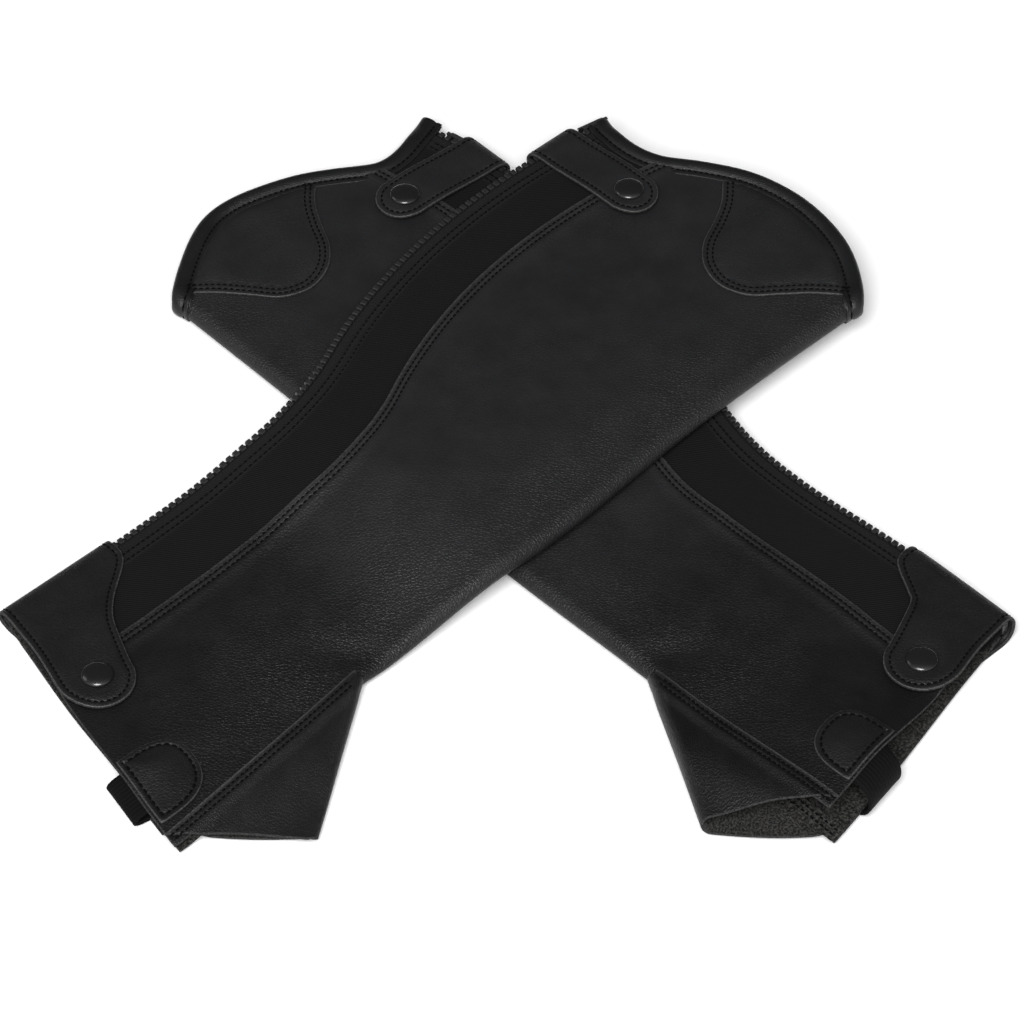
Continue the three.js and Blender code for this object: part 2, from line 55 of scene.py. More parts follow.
# ---------------- driving dimensions, as in the CAD frame
LEATHER, PATCH, STRIP = 1.4, 1.2, 1.5       # thickness of the body, its patches, and the straps and cuffs
BACK_Z, TOP_Z = 1.8, 13.2                   # a flat chap's lower and upper face
MID_Z = (BACK_Z + TOP_Z) / 2
LAYER = (TOP_Z - BACK_Z - LEATHER) / 2      # from mid height to the middle of either leather layer
FOLD_R = 6.3                                # the bend of the shin fold
KNEE_ARC_U, KNEE_ARC_V, KNEE_ARC_R = 138.0, 36.0, 90.0
KNEE_HOLLOW_R, KNEE_HOLLOW_TURN = 43.0, math.radians(42)
KNEE_END_V = 142.0
BOTTOM_U, BOTTOM_V, BOTTOM_SLOPE = -236.0, -36.0, 0.184
INSTEP_U = -124.0                           # the foot flap starts here on the shin
ANKLE_ZIP_V = 105.5
CALF_U, CALF_V, CALF_R, HEEL_R = 135.0, 147.5, 352.0, 150.0
ZIP_BOTTOM_U, ZIP_TOP_U = -207.0, 201.0
PANEL_ANKLE, PANEL_CALF = 45.0, 40.0        # width of the twill panel
TAPE_WIDTH, TOOTH_PITCH = 15.5, 3.8
STRAP_HALF, STRAP_REACH, STRAP_LOOP, STRAP_SEWN, STRAP_SNAP = 13.0, 66.0, 3.6, 36.0, 52.0
CUFF_TOP, CUFF_BOTTOM, CUFF_LOOP, CUFF_SEWN, CUFF_LOBE = -149.0, -214.0, 2.2, 48.0, 16.5
SNAP_LIFT, GAP = 3.1, 0.3                   # flaps above the leather, at the snap and elsewhere
STITCH_PITCH, STITCH_LENGTH, THREAD_R = 2.9, 2.15, 0.42
THREAD_SINK = 0.45                          # how deep a row of threads lies in leather
LEATHER_ROWS = (2.3, 4.8)                   # stitch rows, by their distance from the edge of the knee patch
BAND_PATCH_ROWS = (2.6,)
FLAP_ROWS = (2.3, 4.9)
SEAM_ROWS, SEAM_RISE = (2.6, 5.2), 1.25     # the rows along the twill panel, and the leather's rise there
TAPE_ROWS = (9.0, 13.0)                     # the rows through the zip tape, by their distance from the zip
NEAR_ZIP = [18, 15.5, 14.2, 13.6, 13.0, 12.4, 11.6, 10.4, 9.6, 9.0, 8.4, 7.6, 6.4, 5.4, 4.6, 4.0]
EDGE_FALL = 2.0                             # both layers close in by this much at the zip
FLAP_CUT_U = -135.0                         # the body keeps its shin fold down to here, inside the foot flap
FLAP_LAP = 6.0                              # how far the body reaches under the foot flap
FLAP_LENGTH, FLAP_FOLD = 112.0, 3.6
FLAP_OVER = LEATHER + 0.15                  # the flap's rise where it lies on the body


def clip01(x):
    return np.clip(x, 0.0, 1.0)


def smoothstep(x, low, high):
    t = clip01((np.asarray(x, float) - low) / (high - low))
    return t * t * (3 - 2 * t)


def bell(x, centre, width):
    return np.exp(-(((x - centre) / width) ** 2))


def lerp(a, b, t):
    return a + (b - a) * t


# ---------------- outline of a chap
CALF_TURN = math.acos(1 - (CALF_V - ANKLE_ZIP_V) / (CALF_R + HEEL_R))
HEEL_U = CALF_U - (CALF_R + HEEL_R) * math.sin(CALF_TURN)
HEEL_END_U = HEEL_U + HEEL_R * math.sin(CALF_TURN)


def zip_turn(u):
    heel = np.arcsin(clip01((u - HEEL_U) / HEEL_R))
    calf = np.arcsin(np.clip((CALF_U - u) / CALF_R, -1, 1))
    return np.where(u <= HEEL_END_U, heel, calf)


def zip_v(u):
    u = np.asarray(u, float)
    heel = ANKLE_ZIP_V + HEEL_R * (1 - np.cos(zip_turn(u)))
    calf = CALF_V - CALF_R * (1 - np.cos(zip_turn(u)))
    return np.where(u <= HEEL_END_U, heel, calf)


def seam_v(u):
    share = (zip_v(u) - ANKLE_ZIP_V) / (CALF_V - ANKLE_ZIP_V)
    return zip_v(u) - lerp(PANEL_ANKLE, PANEL_CALF, share)


def knee_u(v):
    v = np.asarray(v, float)
    centre = KNEE_ARC_R + KNEE_HOLLOW_R
    hollow_u = KNEE_ARC_U + centre * math.cos(KNEE_HOLLOW_TURN)
    hollow_v = KNEE_ARC_V + centre * math.sin(KNEE_HOLLOW_TURN)
    join_v = KNEE_ARC_V + KNEE_ARC_R * math.sin(KNEE_HOLLOW_TURN)
    arc = KNEE_ARC_U + np.sqrt(np.maximum(KNEE_ARC_R ** 2 - (v - KNEE_ARC_V) ** 2, 0))
    hollow = hollow_u - np.sqrt(np.maximum(KNEE_HOLLOW_R ** 2 - (v - hollow_v) ** 2, 0))
    return np.where(v < join_v, arc, hollow)


def bottom_u(v):
    return BOTTOM_U + BOTTOM_SLOPE * (v - BOTTOM_V)


zip_straight = HEEL_U - ZIP_BOTTOM_U
zip_heel = HEEL_R * CALF_TURN
zip_length = zip_straight + zip_heel + CALF_R * (CALF_TURN - float(zip_turn(np.float64(ZIP_TOP_U))))


def zip_at(s, off):
    """The points at length s along the zip line, off millimetres outside it."""
    s = np.asarray(s, float)
    heel = HEEL_U + HEEL_R * np.sin(np.clip(s - zip_straight, 0, zip_heel) / HEEL_R)
    calf = CALF_U - CALF_R * np.sin(CALF_TURN - (s - zip_straight - zip_heel) / CALF_R)
    u = np.where(s <= zip_straight, ZIP_BOTTOM_U + s, np.where(s <= zip_straight + zip_heel, heel, calf))
    turn = zip_turn(u)
    return u - off * np.sin(turn), zip_v(u) + off * np.cos(turn)


# ---------------- the two chaps
class Side:
    """One chap: how it lies, how its edges differ from the pattern, and where its flat frame is."""

    def __init__(self, name, **shape):
        self.name, self.body, self.right = name, f"{name}_chap", name == "right"
        self.__dict__.update(shape)
        low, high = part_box(f"{name}_cuff_loop")
        middle = (low + high) / 2 / MM
        cuff_middle = (CUFF_TOP + CUFF_BOTTOM) / 2
        self.shift = abs(middle.y - cuff_middle if self.right else middle.x + cuff_middle)

    def place(self, points):
        """From the chap's flat frame, in millimetres, to the row frame, in metres."""
        u, v, z = np.asarray(points, float).T
        slack = smoothstep(-u, 40, 130)
        waist = self.waist[0] * bell(u, self.waist[1], self.waist[2]) * smoothstep(v, 20, 100)
        u, v = u + self.slide[0] * slack, v + self.slide[1] * slack - waist
        across, along = (-v, u) if self.right else (-u, v)
        return np.stack([across - self.shift, along + self.shift, z], axis=1) * MM

    def knee_u(self, v):
        corner = self.knee_corner * smoothstep(v, 88, KNEE_END_V)
        return knee_u(v) + self.knee + (self.knee_apex * bell(v, 22, 24) - 1.9 * bell(v, 86, 20) + corner)

    def bottom_u(self, v):
        return bottom_u(v) + lerp(self.bottom[0], self.bottom[1], smoothstep(v, 30, 100))

    def reach(self, u, v):
        """How far the back layer's foot end lies beyond the front's."""
        return self.back_reach * smoothstep(-u, 185, 236) * (1 - smoothstep(v, -5, 95))

    def seam_foot_v(self, u):
        """The raw edge of the foot flap on the body, from the shin fold to the bottom edge."""
        return lerp(-27.5, self.heel_v, clip01((-120 - u) / 116))

    def settle(self, u, v, z):
        """The height of a point that would be at z on a flat chap. The foot end is open."""
        front = clip01((z - BACK_Z) / (TOP_Z - BACK_Z))
        toe = lerp(1.0, self.toe_share, (1 - smoothstep(v, -74, -44)) * smoothstep(-u, 120, 185))
        share = lerp(1.0, self.foot_share, smoothstep(-u, 60, 160)) * toe
        flat_z = BACK_Z + (z - BACK_Z) * np.where(z > BACK_Z, share, 1.0)
        mouth = smoothstep(v, -66, -36) * (1 - smoothstep(v, 0, 50))
        arch = self.arch * front * mouth * smoothstep(-u, 150, 240)
        sink = self.sink * (1 - smoothstep(v, 20, 56)) * smoothstep(u, -190, -135)
        lift = self.lift * smoothstep(u, -108, -32)
        return flat_z + arch - sink + lift

    def fold_v(self, u):
        """Where the fold at the shin starts to turn: it widens toward the foot flap."""
        return self.shin - self.bulge * bell(u, -15, 80) - 4.6 * smoothstep(-u, 119, 133)

    def swell(self, u, v):
        """Soft shape of the front leather: a low crown, shallow dents, and slow waves."""
        across = clip01((v - self.fold_v(u)) / (zip_v(u) - self.fold_v(u)))
        crown = np.sin(math.pi * across) ** 1.3
        if self.right:
            along = smoothstep(u, -190, -70) * (1 - smoothstep(u, 40, 150))
            high = 3.2 * crown * along
        else:
            along = smoothstep(-u, 44, 80) * (1 - smoothstep(-u, 120, 190))
            high = 2.0 * crown * along - 1.6 * bell(u, -128, 26) * bell(v, 4, 34)
        shoulder = -1.1 * (1 - smoothstep(v - self.fold_v(u), 0, 26))
        waves = 0.28 * np.sin(u / 17.0 + v / 29.0) * np.sin(v / 23.0 - u / 61.0 + 1.3)
        waves += 0.16 * np.sin(u / 8.3 - v / 12.0) * np.sin(v / 9.1 + u / 31.0)
        instep = -1.4 * bell(u + 0.7 * v, -128, 9) * (1 - smoothstep(v, -25, 12))
        calm = 1 - smoothstep(across, 0.62, 0.75)
        return high + shoulder + (waves * smoothstep(across, 0.0, 0.2) + instep) * calm

    def front(self, u, v, off=0.0, fall=True):
        """Points off millimetres above the front leather's outer face."""
        edge = smoothstep(v - zip_v(u), -17, -1) * EDGE_FALL if fall else 0.0
        height = LAYER - edge
        past = clip01((self.fold_v(u) - v) / FOLD_R) * (u > FLAP_CUT_U)
        height = lerp(-LAYER, height, (1 + np.sqrt(1 - past ** 2)) / 2)
        z = self.settle(u, v, MID_Z + height) + self.swell(u, v) + LEATHER / 2 + off
        return np.stack([u, v, z], axis=1)

    def back(self, u, v, off=0.0):
        """Points off millimetres below the back leather's outer face."""
        edge = smoothstep(v - zip_v(u), -17, -1) * EDGE_FALL
        z = self.settle(u, v, MID_Z - LAYER + edge) - LEATHER / 2 - off
        return np.stack([u, v, z], axis=1)


# lift raises the knee half over the other chap; arch raises the front of the mouth, sink lowers the shin side.
# foot_share and toe_share scale the height of the foot end and its toe. slide shifts the foot half.
# shin and bulge place and bow the shin fold. knee, knee_apex, knee_corner and bottom shift the end edges from
# the pattern. back_reach is how far the back layer sticks out. heel_v, fold_in, toe, tuck, heel_tuck and mouth
# shape the foot flap. strap_u, cuff_low and cuff_snap place the flaps. band_v and band_reach place the elastic,
# and patch (half width, depth) and patch_v its patches. tape_end and stop_slide move the ends of the zip.
# flap_painted_shade is painted shade on the foot flap: it darkens the flap's colour. waist draws the zip line
# in: how deep, where and over what length.
SIDES = [
    Side("left", lift=0.0, arch=9.5, sink=1.3, foot_share=1.25, toe_share=0.62, slide=(0.5, 0.4),
         shin=-21.8, bulge=2.0, knee=-1.6, knee_apex=5.6, knee_corner=15.0, bottom=(3.0, 3.5), back_reach=4.5,
         heel_v=-28.5, fold_in=0.0, toe=(-195.0, -67.5), tuck=1.03, heel_tuck=1.0, mouth=(3.2, -2.8),
         strap_u=174.0, cuff_low=-209.0, cuff_snap=(-201.3, 56.0), band_v=-4.0, band_reach=9.0,
         patch=(17.5, 29.0), patch_v=-1.0, tape_end=7.0, stop_slide=6.0, flap_painted_shade=1.0,
         waist=(3.4, -88.0, 48.0)),
    Side("right", lift=12.0, arch=0.0, sink=0.0, foot_share=0.66, toe_share=0.5, slide=(-1.0, -2.0),
         shin=-23.3, bulge=8.2, knee=-6.2, knee_apex=0.0, knee_corner=2.6, bottom=(-3.5, -0.5), back_reach=-2.5,
         heel_v=-40.5, fold_in=2.2, toe=(-196.5, -80.5), tuck=0.965, heel_tuck=0.95, mouth=(3.2, -2.4),
         strap_u=165.0, cuff_low=-211.5, cuff_snap=(-206.8, 45.4), band_v=-12.5, band_reach=6.5,
         patch=(19.0, 32.0), patch_v=-15.0, tape_end=0.0, stop_slide=-4.0, flap_painted_shade=0.5,
         waist=(2.4, -48.0, 34.0)),
]


# ---------------- mesh helpers
def normalised(v):
    return v / np.maximum(np.linalg.norm(v, axis=-1, keepdims=True), 1e-12)


def vertex_normals(points, faces):
    a, b, c = points[faces[:, 0]], points[faces[:, 1]], points[faces[:, 2]]
    normal = np.cross(b - a, c - a)
    if faces.shape[1] == 4:
        d = points[faces[:, 3]]
        normal = np.cross(c - a, d - b)
    total = np.zeros_like(points)
    for corner in faces.T:
        np.add.at(total, corner, normal)
    return normalised(total)


def build(name, side, node, points, faces, looks, body=None, look_index=None, flat=None, smooth=True):
    """Makes a piece from points in a chap's flat frame and closed faces. It stands for the CAD node and rides
    on the body, if these are named."""
    placed = side.place(points)
    fan = [(f[0], f[k], f[k + 1]) for f in faces for k in range(1, len(f) - 1)]
    a, b, c = (placed[[t[k] for t in fan]] for k in range(3))
    if np.einsum("ij,ij->i", a, np.cross(b, c)).sum() < 0:
        faces = [tuple(reversed(f)) for f in faces]
    mesh = bpy.data.meshes.new(name)
    mesh.from_pydata(placed.tolist(), [], [tuple(int(i) for i in f) for f in faces])
    for look in looks:
        mesh.materials.append(look)
    if look_index is not None:
        mesh.polygons.foreach_set("material_index", np.asarray(look_index, np.int32))
    mesh.polygons.foreach_set("use_smooth", np.full(len(faces), smooth))
    grain = mesh.attributes.new("flat", "FLOAT_VECTOR", "POINT")
    coordinates = (np.asarray(points if flat is None else flat, float) * MM).astype(np.float32)
    grain.data.foreach_set("vector", coordinates.ravel())
    mesh.update()
    piece = bpy.data.objects.new(f"{side.name}_{name}", mesh)
    bpy.context.scene.collection.objects.link(piece)
    if body:
        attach(piece, body)
    if node:
        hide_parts(f"{side.name}_{node}")
    return piece


def grid_faces(rows, columns, keep=None):
    """Quads of a grid of points, rows by columns, without the cells where keep is False."""
    at = np.arange(rows * columns).reshape(rows, columns)
    quads = np.stack([at[:-1, :-1], at[1:, :-1], at[1:, 1:], at[:-1, 1:]], axis=-1)
    return (quads if keep is None else quads[keep]).reshape(-1, 4)


def swept_faces(rings, count, start=0):
    """Faces of a tube of rings with count points each, and its two ends. Its first point is number start."""
    last = start + (rings - 1) * count
    faces = [(a + k, a + (k + 1) % count, a + count + (k + 1) % count, a + count + k)
             for a in range(start, last, count) for k in range(count)]
    return faces + [tuple(range(start + count - 1, start - 1, -1)), tuple(range(last, last + count))]


ROUND_EDGE = 0.3           # how far a sheet's rim bulges, as a share of its thickness


def thick(points, faces, thickness, outside=1.0):
    """Closes a surface into a sheet with an outer face, an inner face and a rounded rim. outside is 1 where the
    outer face looks up. Gives the points, the faces, each face's look and each point's source."""
    used = np.unique(faces)
    renumber = np.full(len(points), -1)
    renumber[used] = np.arange(len(used))
    points, faces = points[used], renumber[faces]
    normals = vertex_normals(points, faces)
    if normals[faces[0]].sum(axis=0)[2] * outside < 0:
        faces, normals = faces[:, ::-1], -normals
    n = len(points)
    starts, ends = faces.ravel(), np.roll(faces, -1, axis=1).ravel()
    rim = ~np.isin(starts * n + ends, ends * n + starts)
    starts, ends = starts[rim], ends[rim]
    out = np.cross(normalised(points[ends] - points[starts]), normals[starts])
    push = np.zeros_like(points)
    np.add.at(push, starts, out)
    np.add.at(push, ends, out)
    edge = np.unique(np.concatenate([starts, ends]))
    ring = np.full(n, -1)
    ring[edge] = 2 * n + np.arange(len(edge))
    half = thickness / 2
    rim_points = points[edge] + normalised(push[edge]) * ROUND_EDGE * thickness
    every = np.concatenate([points + normals * half, points - normals * half, rim_points])
    upper = np.stack([ends, starts, ring[starts], ring[ends]], axis=1)
    lower = np.stack([ring[ends], ring[starts], starts + n, ends + n], axis=1)
    shells = [tuple(f) for f in faces] + [tuple(f) for f in (faces[:, ::-1] + n)]
    walls = [tuple(f) for f in upper] + [tuple(f) for f in lower]
    look = np.concatenate([np.zeros(len(faces)), np.ones(len(faces)), np.full(len(walls), 2)]).astype(int)
    source = np.concatenate([used, used, used[edge]])
    return every, shells + walls, look, source


def grid_sheet(points, thickness, outside=1.0, keep=None):
    """The same for a grid of points, rows by columns."""
    return thick(points.reshape(-1, 3), grid_faces(*points.shape[:2], keep), thickness, outside)


def level(flat):
    """Flat points, at a height of 0."""
    return np.concatenate([flat, np.zeros((len(flat), 1))], axis=1)


def lengths(line):
    """How far along a line each of its points is."""
    return np.concatenate([[0], np.cumsum(np.linalg.norm(np.diff(line, axis=0), axis=1))])


def looped(outline):
    return np.concatenate([outline, outline[:1]])


def signed_area(loop):
    return np.sum(loop[:-1, 0] * loop[1:, 1] - loop[1:, 0] * loop[:-1, 1])


def smooth_line(controls, step):
    """A smooth line through the control points (Catmull-Rom), at even steps."""
    p = np.array(controls, float)
    p = np.concatenate([2 * p[:1] - p[1:2], p, 2 * p[-1:] - p[-2:-1]])
    t = np.linspace(0, 1, 24, endpoint=False)[:, None]
    runs = []
    for a, b, c, d in zip(p[:-3], p[1:-2], p[2:-1], p[3:]):
        curve = (c - a) * t + (2 * a - 5 * b + 4 * c - d) * t ** 2 + (3 * b - a - 3 * c + d) * t ** 3
        runs.append(0.5 * (2 * b + curve))
    return even(np.concatenate(runs + [p[-2:-1]]), step)


def even(line, step):
    """The same line with points an even step apart."""
    line = np.asarray(line, float)
    along = lengths(line)
    count = max(2, int(round(along[-1] / step)) + 1)
    at = np.linspace(0, along[-1], count)
    return np.stack([np.interp(at, along, line[:, k]) for k in range(line.shape[1])], axis=1)


def beside(line, distance):
    """The line moved sideways, to its left for a positive distance."""
    line = np.asarray(line, float)
    way = normalised(np.gradient(line, axis=0))
    return line + distance * np.stack([-way[:, 1], way[:, 0]], axis=1)


def distance_to(points, line):
    """How far each flat point is from a line."""
    best = np.full(len(points), 1e9)
    for a, b in zip(line[:-1], line[1:]):
        d = b - a
        t = clip01(((points - a) @ d) / max(d @ d, 1e-9))
        best = np.minimum(best, np.linalg.norm(points - a - t[:, None] * d, axis=1))
    return best


def inner_row(loop, distance, nearest):
    """The row this far inside a closed line, without the points that come nearer to it at its corners."""
    row = beside(even(loop, 1.5), distance * np.sign(signed_area(loop)))
    return row[distance_to(row, loop) > nearest]


def inside(points, outline):
    hits = np.zeros(len(points), bool)
    for (x0, y0), (x1, y1) in zip(outline, np.roll(outline, -1, axis=0)):
        if y0 == y1:
            continue
        crosses = (y0 > points[:, 1]) != (y1 > points[:, 1])
        hits ^= crosses & (points[:, 0] < (x1 - x0) * (points[:, 1] - y0) / (y1 - y0) + x0)
    return hits


RINGS = (0.5, 1.2, 1.9, 2.5, 3.1, 3.9, 5.0)


def filled(outline, spacing=2.4):
    """Triangles that fill an outline, with rings of points near its edge: points, faces and edge distances."""
    loop = looped(outline)
    extra = [inner_row(loop, distance, 0.93 * distance) for distance in RINGS]
    low, high = outline.min(0), outline.max(0)
    xs = np.arange(low[0], high[0], spacing)
    ys = np.arange(low[1], high[1], spacing * 0.87)
    x, y = np.meshgrid(xs, ys)
    x = x + (np.arange(len(ys)) % 2)[:, None] * spacing / 2
    field = np.stack([x.ravel(), y.ravel()], axis=1)
    extra.append(field[distance_to(field, loop) > RINGS[-1] + spacing * 0.4])
    extra = np.concatenate(extra)
    extra = extra[inside(extra, outline)]
    points = [Vector(p) for p in np.concatenate([outline, extra])]
    edges = [(i, (i + 1) % len(outline)) for i in range(len(outline))]
    found, _, faces, *_ = delaunay_2d_cdt(points, edges, [list(range(len(outline)))], 1, 1e-4)
    flat = np.array([tuple(p) for p in found])
    faces = np.array([f for f in faces if len(f) == 3])
    a, b, c = (flat[faces[:, k]] for k in range(3))
    size = (b[:, 0] - a[:, 0]) * (c[:, 1] - a[:, 1]) - (b[:, 1] - a[:, 1]) * (c[:, 0] - a[:, 0])
    faces = np.where((size > 0)[:, None], faces, faces[:, ::-1])
    return flat, faces[np.abs(size) > 1e-6], distance_to(flat, loop)


def dents(distance, rows, width):
    """The hollows along stitch rows, 1 deep."""
    return sum(bell(distance, row, width) for row in rows)


def pressed(distance, rows, depth=0.45):
    """How far a sewn sheet sinks at its stitch rows and at its edge, by the distance from its edge."""
    return 0.25 * (1 - smoothstep(distance, 0, 0.9)) + depth * dents(distance, rows, 0.75)


# ---------------- stitches
def stitches(name, side, runs, body=None, pitch=STITCH_PITCH, length=STITCH_LENGTH, radius=THREAD_R):
    """One mesh of sewn threads. Each run is a flat line, and the surface function that lifts it."""
    sides, t = 7, np.array([-1.0, -0.72, 0.0, 0.72, 1.0])
    swell, rise = np.array([0.3, 0.85, 1.0, 0.85, 0.3]), np.array([-0.9, 0.1, 0.42, 0.1, -0.9])
    stations = len(t)
    turn = np.linspace(0, 2 * math.pi, sides, endpoint=False)[:, None]
    rings = []
    for line, surface in runs:
        line = even(line, 0.5)
        along = lengths(line)
        count = int((along[-1] - length) / pitch) + 1
        if count < 1:
            continue
        first = (along[-1] - (count - 1) * pitch) / 2
        at = first + pitch * np.arange(count)[:, None] + t[None, :] * length / 2
        flat = np.stack([np.interp(at.ravel(), along, line[:, k]) for k in range(2)], axis=1)
        base = surface(flat[:, 0], flat[:, 1], 0.0)
        up = normalised(surface(flat[:, 0], flat[:, 1], 0.5) - base).reshape(count, stations, 3)
        base = base.reshape(count, stations, 3)
        way = normalised(base[:, -1:] - base[:, :1]) + 0 * base
        across = normalised(np.cross(up, way))
        centre = base + up * (rise * radius)[None, :, None]
        spoke = across[:, :, None] * np.cos(turn) * 1.15 + up[:, :, None] * np.sin(turn) * 0.9
        rings.append(centre[:, :, None] + spoke * (swell * radius)[None, :, None, None])
    rings = np.concatenate(rings)
    count = len(rings)
    faces = [face for i in range(count) for face in swept_faces(stations, sides, i * stations * sides)]
    twist = np.zeros(rings.shape)
    twist[..., 0] = np.arange(count)[:, None, None] * pitch + (t * length / 2)[None, :, None]
    twist[..., 1] = np.arange(sides) * radius
    return build(name, side, None, rings.reshape(-1, 3), faces, [LOOKS["thread"]], body,
                 flat=twist.reshape(-1, 3))


# ---------------- materials
def add(tree, kind, inputs=(), **settings):
    """A new node, with its settings made and its inputs set or linked."""
    made = tree.nodes.new(kind)
    for key, value in settings.items():
        setattr(made, key, value)
    for key, value in dict(inputs).items():
        if isinstance(value, bpy.types.NodeSocket):
            tree.links.new(value, made.inputs[key])
        else:
            made.inputs[key].default_value = value
    return made


class Look:
    """A material in the making. Most of its methods add a node and give its output."""

    def __init__(self, name, **constants):
        self.material = bpy.data.materials.new(name)
        self.material.use_nodes = True
        self.tree = self.material.node_tree
        self.finished(**constants)

    def finished(self, **inputs):
        """Sets or links the shader's inputs, and gives the material."""
        shader = self.tree.nodes["Principled BSDF"]
        for key, value in inputs.items():
            socket = shader.inputs[key.replace("_", " ")]
            if isinstance(value, bpy.types.NodeSocket):
                self.tree.links.new(value, socket)
            else:
                socket.default_value = value
        return self.material

    def add(self, kind, inputs=(), output=0, **settings):
        return add(self.tree, kind, inputs, **settings).outputs[output]

    def attribute(self, name, output="Fac"):
        return self.add("ShaderNodeAttribute", (), output, attribute_name=name)

    def flat(self):
        """Where the point lies on its piece when that is laid flat, in metres."""
        return self.attribute("flat", "Vector")

    def maths(self, operation, a, b=0.0):
        return self.add("ShaderNodeMath", {0: a, 1: b}, operation=operation)

    def plus(self, a, b):
        return self.maths("ADD", a, b)

    def times(self, a, b):
        return self.maths("MULTIPLY", a, b)

    def vector(self, operation, a, b, output=0):
        return self.add("ShaderNodeVectorMath", {0: a, ("Scale" if operation == "SCALE" else 1): b}, output,
                        operation=operation)

    def mixed(self, amount, low, high):
        """A colour between low and high."""
        low, high = (c if isinstance(c, bpy.types.NodeSocket) else (*c, 1) for c in (low, high))
        return self.add("ShaderNodeMix", {"Factor": amount, 6: low, 7: high}, 2, data_type="RGBA")

    def ranged(self, value, from_low, from_high, low=0.0, high=1.0):
        return self.add("ShaderNodeMapRange", {0: value, 1: from_low, 2: from_high, 3: low, 4: high})

    def noise(self, where, scale, detail=3.0, rough=0.55, output="Fac"):
        inputs = {"Vector": where, "Scale": scale, "Detail": detail, "Roughness": rough}
        return self.add("ShaderNodeTexNoise", inputs, output)

    def ribs(self, along, pitch):
        """Ribs across a length, from 0 to 1, pitch metres apart."""
        return self.ranged(self.maths("SINE", self.times(along, 2 * math.pi / pitch)), -1, 1)

    def waves(self, where, direction, pitch):
        """Straight ribs across a direction."""
        return self.ribs(self.vector("DOT_PRODUCT", where, direction, "Value"), pitch)

    def relief(self, height, depth):
        return self.add("ShaderNodeBump", {"Height": height, "Distance": depth, "Strength": 1.0}, "Normal")


def leather(name, dark, light, pebble, smoothness=0.0):
    """Pebbled leather: rounded cells with fine creases, soft colour variation and uneven gloss. A piece's worn
    attribute brings its grain out, its matte attribute paints shade by darkening the colour, and rim frays it."""
    look = Look(name, Specular_IOR_Level=0.34, IOR=1.48)
    where = look.flat()
    drift = look.noise(where, 260.0, 2.0, 0.5, "Color")
    bent = look.vector("ADD", where, look.vector("SCALE", drift, 0.0011))
    cells = look.add("ShaderNodeTexVoronoi", {"Vector": bent, "Scale": 1 / pebble}, "Distance",
                     feature="DISTANCE_TO_EDGE")
    pebbles = look.ranged(cells, 0.0, 0.22)
    fine, broad = look.noise(where, 2600.0, 4.0), look.noise(where, 16.0)
    patches = look.noise(where, 55.0, 4.0, 0.6)
    worn, matte, rim = look.attribute("worn"), look.attribute("matte"), look.attribute("rim")
    strength = look.plus(look.ranged(broad, 0.35, 0.65, 0.2, 0.5), look.times(worn, 0.5))
    height = look.plus(look.times(pebbles, strength), look.times(fine, 0.16))
    tint = look.plus(look.times(patches, 0.6), look.times(pebbles, 0.35))
    # painted shade: the matte attribute mixes the colour toward near black, standing in for darker light on the
    # foot ends and flaps
    face = look.mixed(look.times(matte, 0.95), look.mixed(tint, dark, light), (0.0012, 0.0012, 0.0014))
    frays = look.times(rim, look.ranged(look.noise(where, 700.0, 5.0, 0.7), 0.36, 0.6, 0.15, 1.0))
    gloss = look.plus(look.ranged(patches, 0.3, 0.7, 0.46 - smoothness, 0.58 - smoothness),
                      look.ranged(pebbles, 0, 1, 0.06, -0.03))
    return look.finished(Base_Color=look.mixed(frays, face, (0.075, 0.075, 0.073)),
                         Roughness=look.plus(gloss, look.times(matte, -0.04)),
                         Normal=look.relief(height, 0.0002))


def suede():
    look = Look("suede", Sheen_Weight=0.12, Sheen_Roughness=0.5, Specular_IOR_Level=0.1)
    nap, blotch = look.noise(look.flat(), 720.0, 2.0, 0.6), look.noise(look.flat(), 160.0, 4.0)
    tint = look.ranged(look.plus(look.times(nap, 0.7), look.times(blotch, 0.15)), 0.37, 0.53)
    colour = look.mixed(tint, (0.0012, 0.0012, 0.0011), (0.036, 0.0349, 0.0313))
    return look.finished(Base_Color=colour, Roughness=0.95, Normal=look.relief(nap, 0.0009))


def raw_edge():
    look = Look("raw_edge", Specular_IOR_Level=0.2)
    fibres = look.noise(look.flat(), 900.0, 6.0, 0.75)
    colour = look.mixed(look.ranged(fibres, 0.38, 0.66), (0.006, 0.006, 0.0064), (0.040, 0.040, 0.039))
    return look.finished(Base_Color=colour, Roughness=0.85, Normal=look.relief(fibres, 0.0003))


def cloth(name, dark, light, weave_of, depth, sheen, shine=0.1):
    """Woven cloth: weave_of gives the weave's height from 0 to 1 at the flat coordinates."""
    look = Look(name, Sheen_Weight=sheen, Sheen_Roughness=0.4, Specular_IOR_Level=shine)
    where = look.flat()
    weave, fuzz, cast = weave_of(look, where), look.noise(where, 3000.0), look.noise(where, 70.0, 4.0)
    tint = look.plus(look.times(weave, 0.65), look.times(cast, 0.35))
    tint = look.plus(tint, look.times(look.attribute("worn"), look.ranged(fuzz, 0.3, 0.7, 0.5, 1.3)))
    return look.finished(Base_Color=look.mixed(tint, dark, light),
                         Roughness=look.ranged(cast, 0.3, 0.7, 0.79, 0.91),
                         Normal=look.relief(look.plus(weave, look.times(fuzz, 0.25)), depth))


def twill(look, where):
    ribs, yarns = look.waves(where, (0.62, 0.78, 0.0), 0.00115), look.waves(where, (0.78, -0.62, 0.0), 0.0009)
    return look.times(ribs, look.ranged(yarns, 0, 1, 0.7, 1.0))


def herringbone(look, where):
    along, across = (look.add("ShaderNodeSeparateXYZ", {0: where}, axis) for axis in (0, 1))
    return look.ribs(look.plus(along, look.maths("PINGPONG", across, 0.0016)), 0.0011)


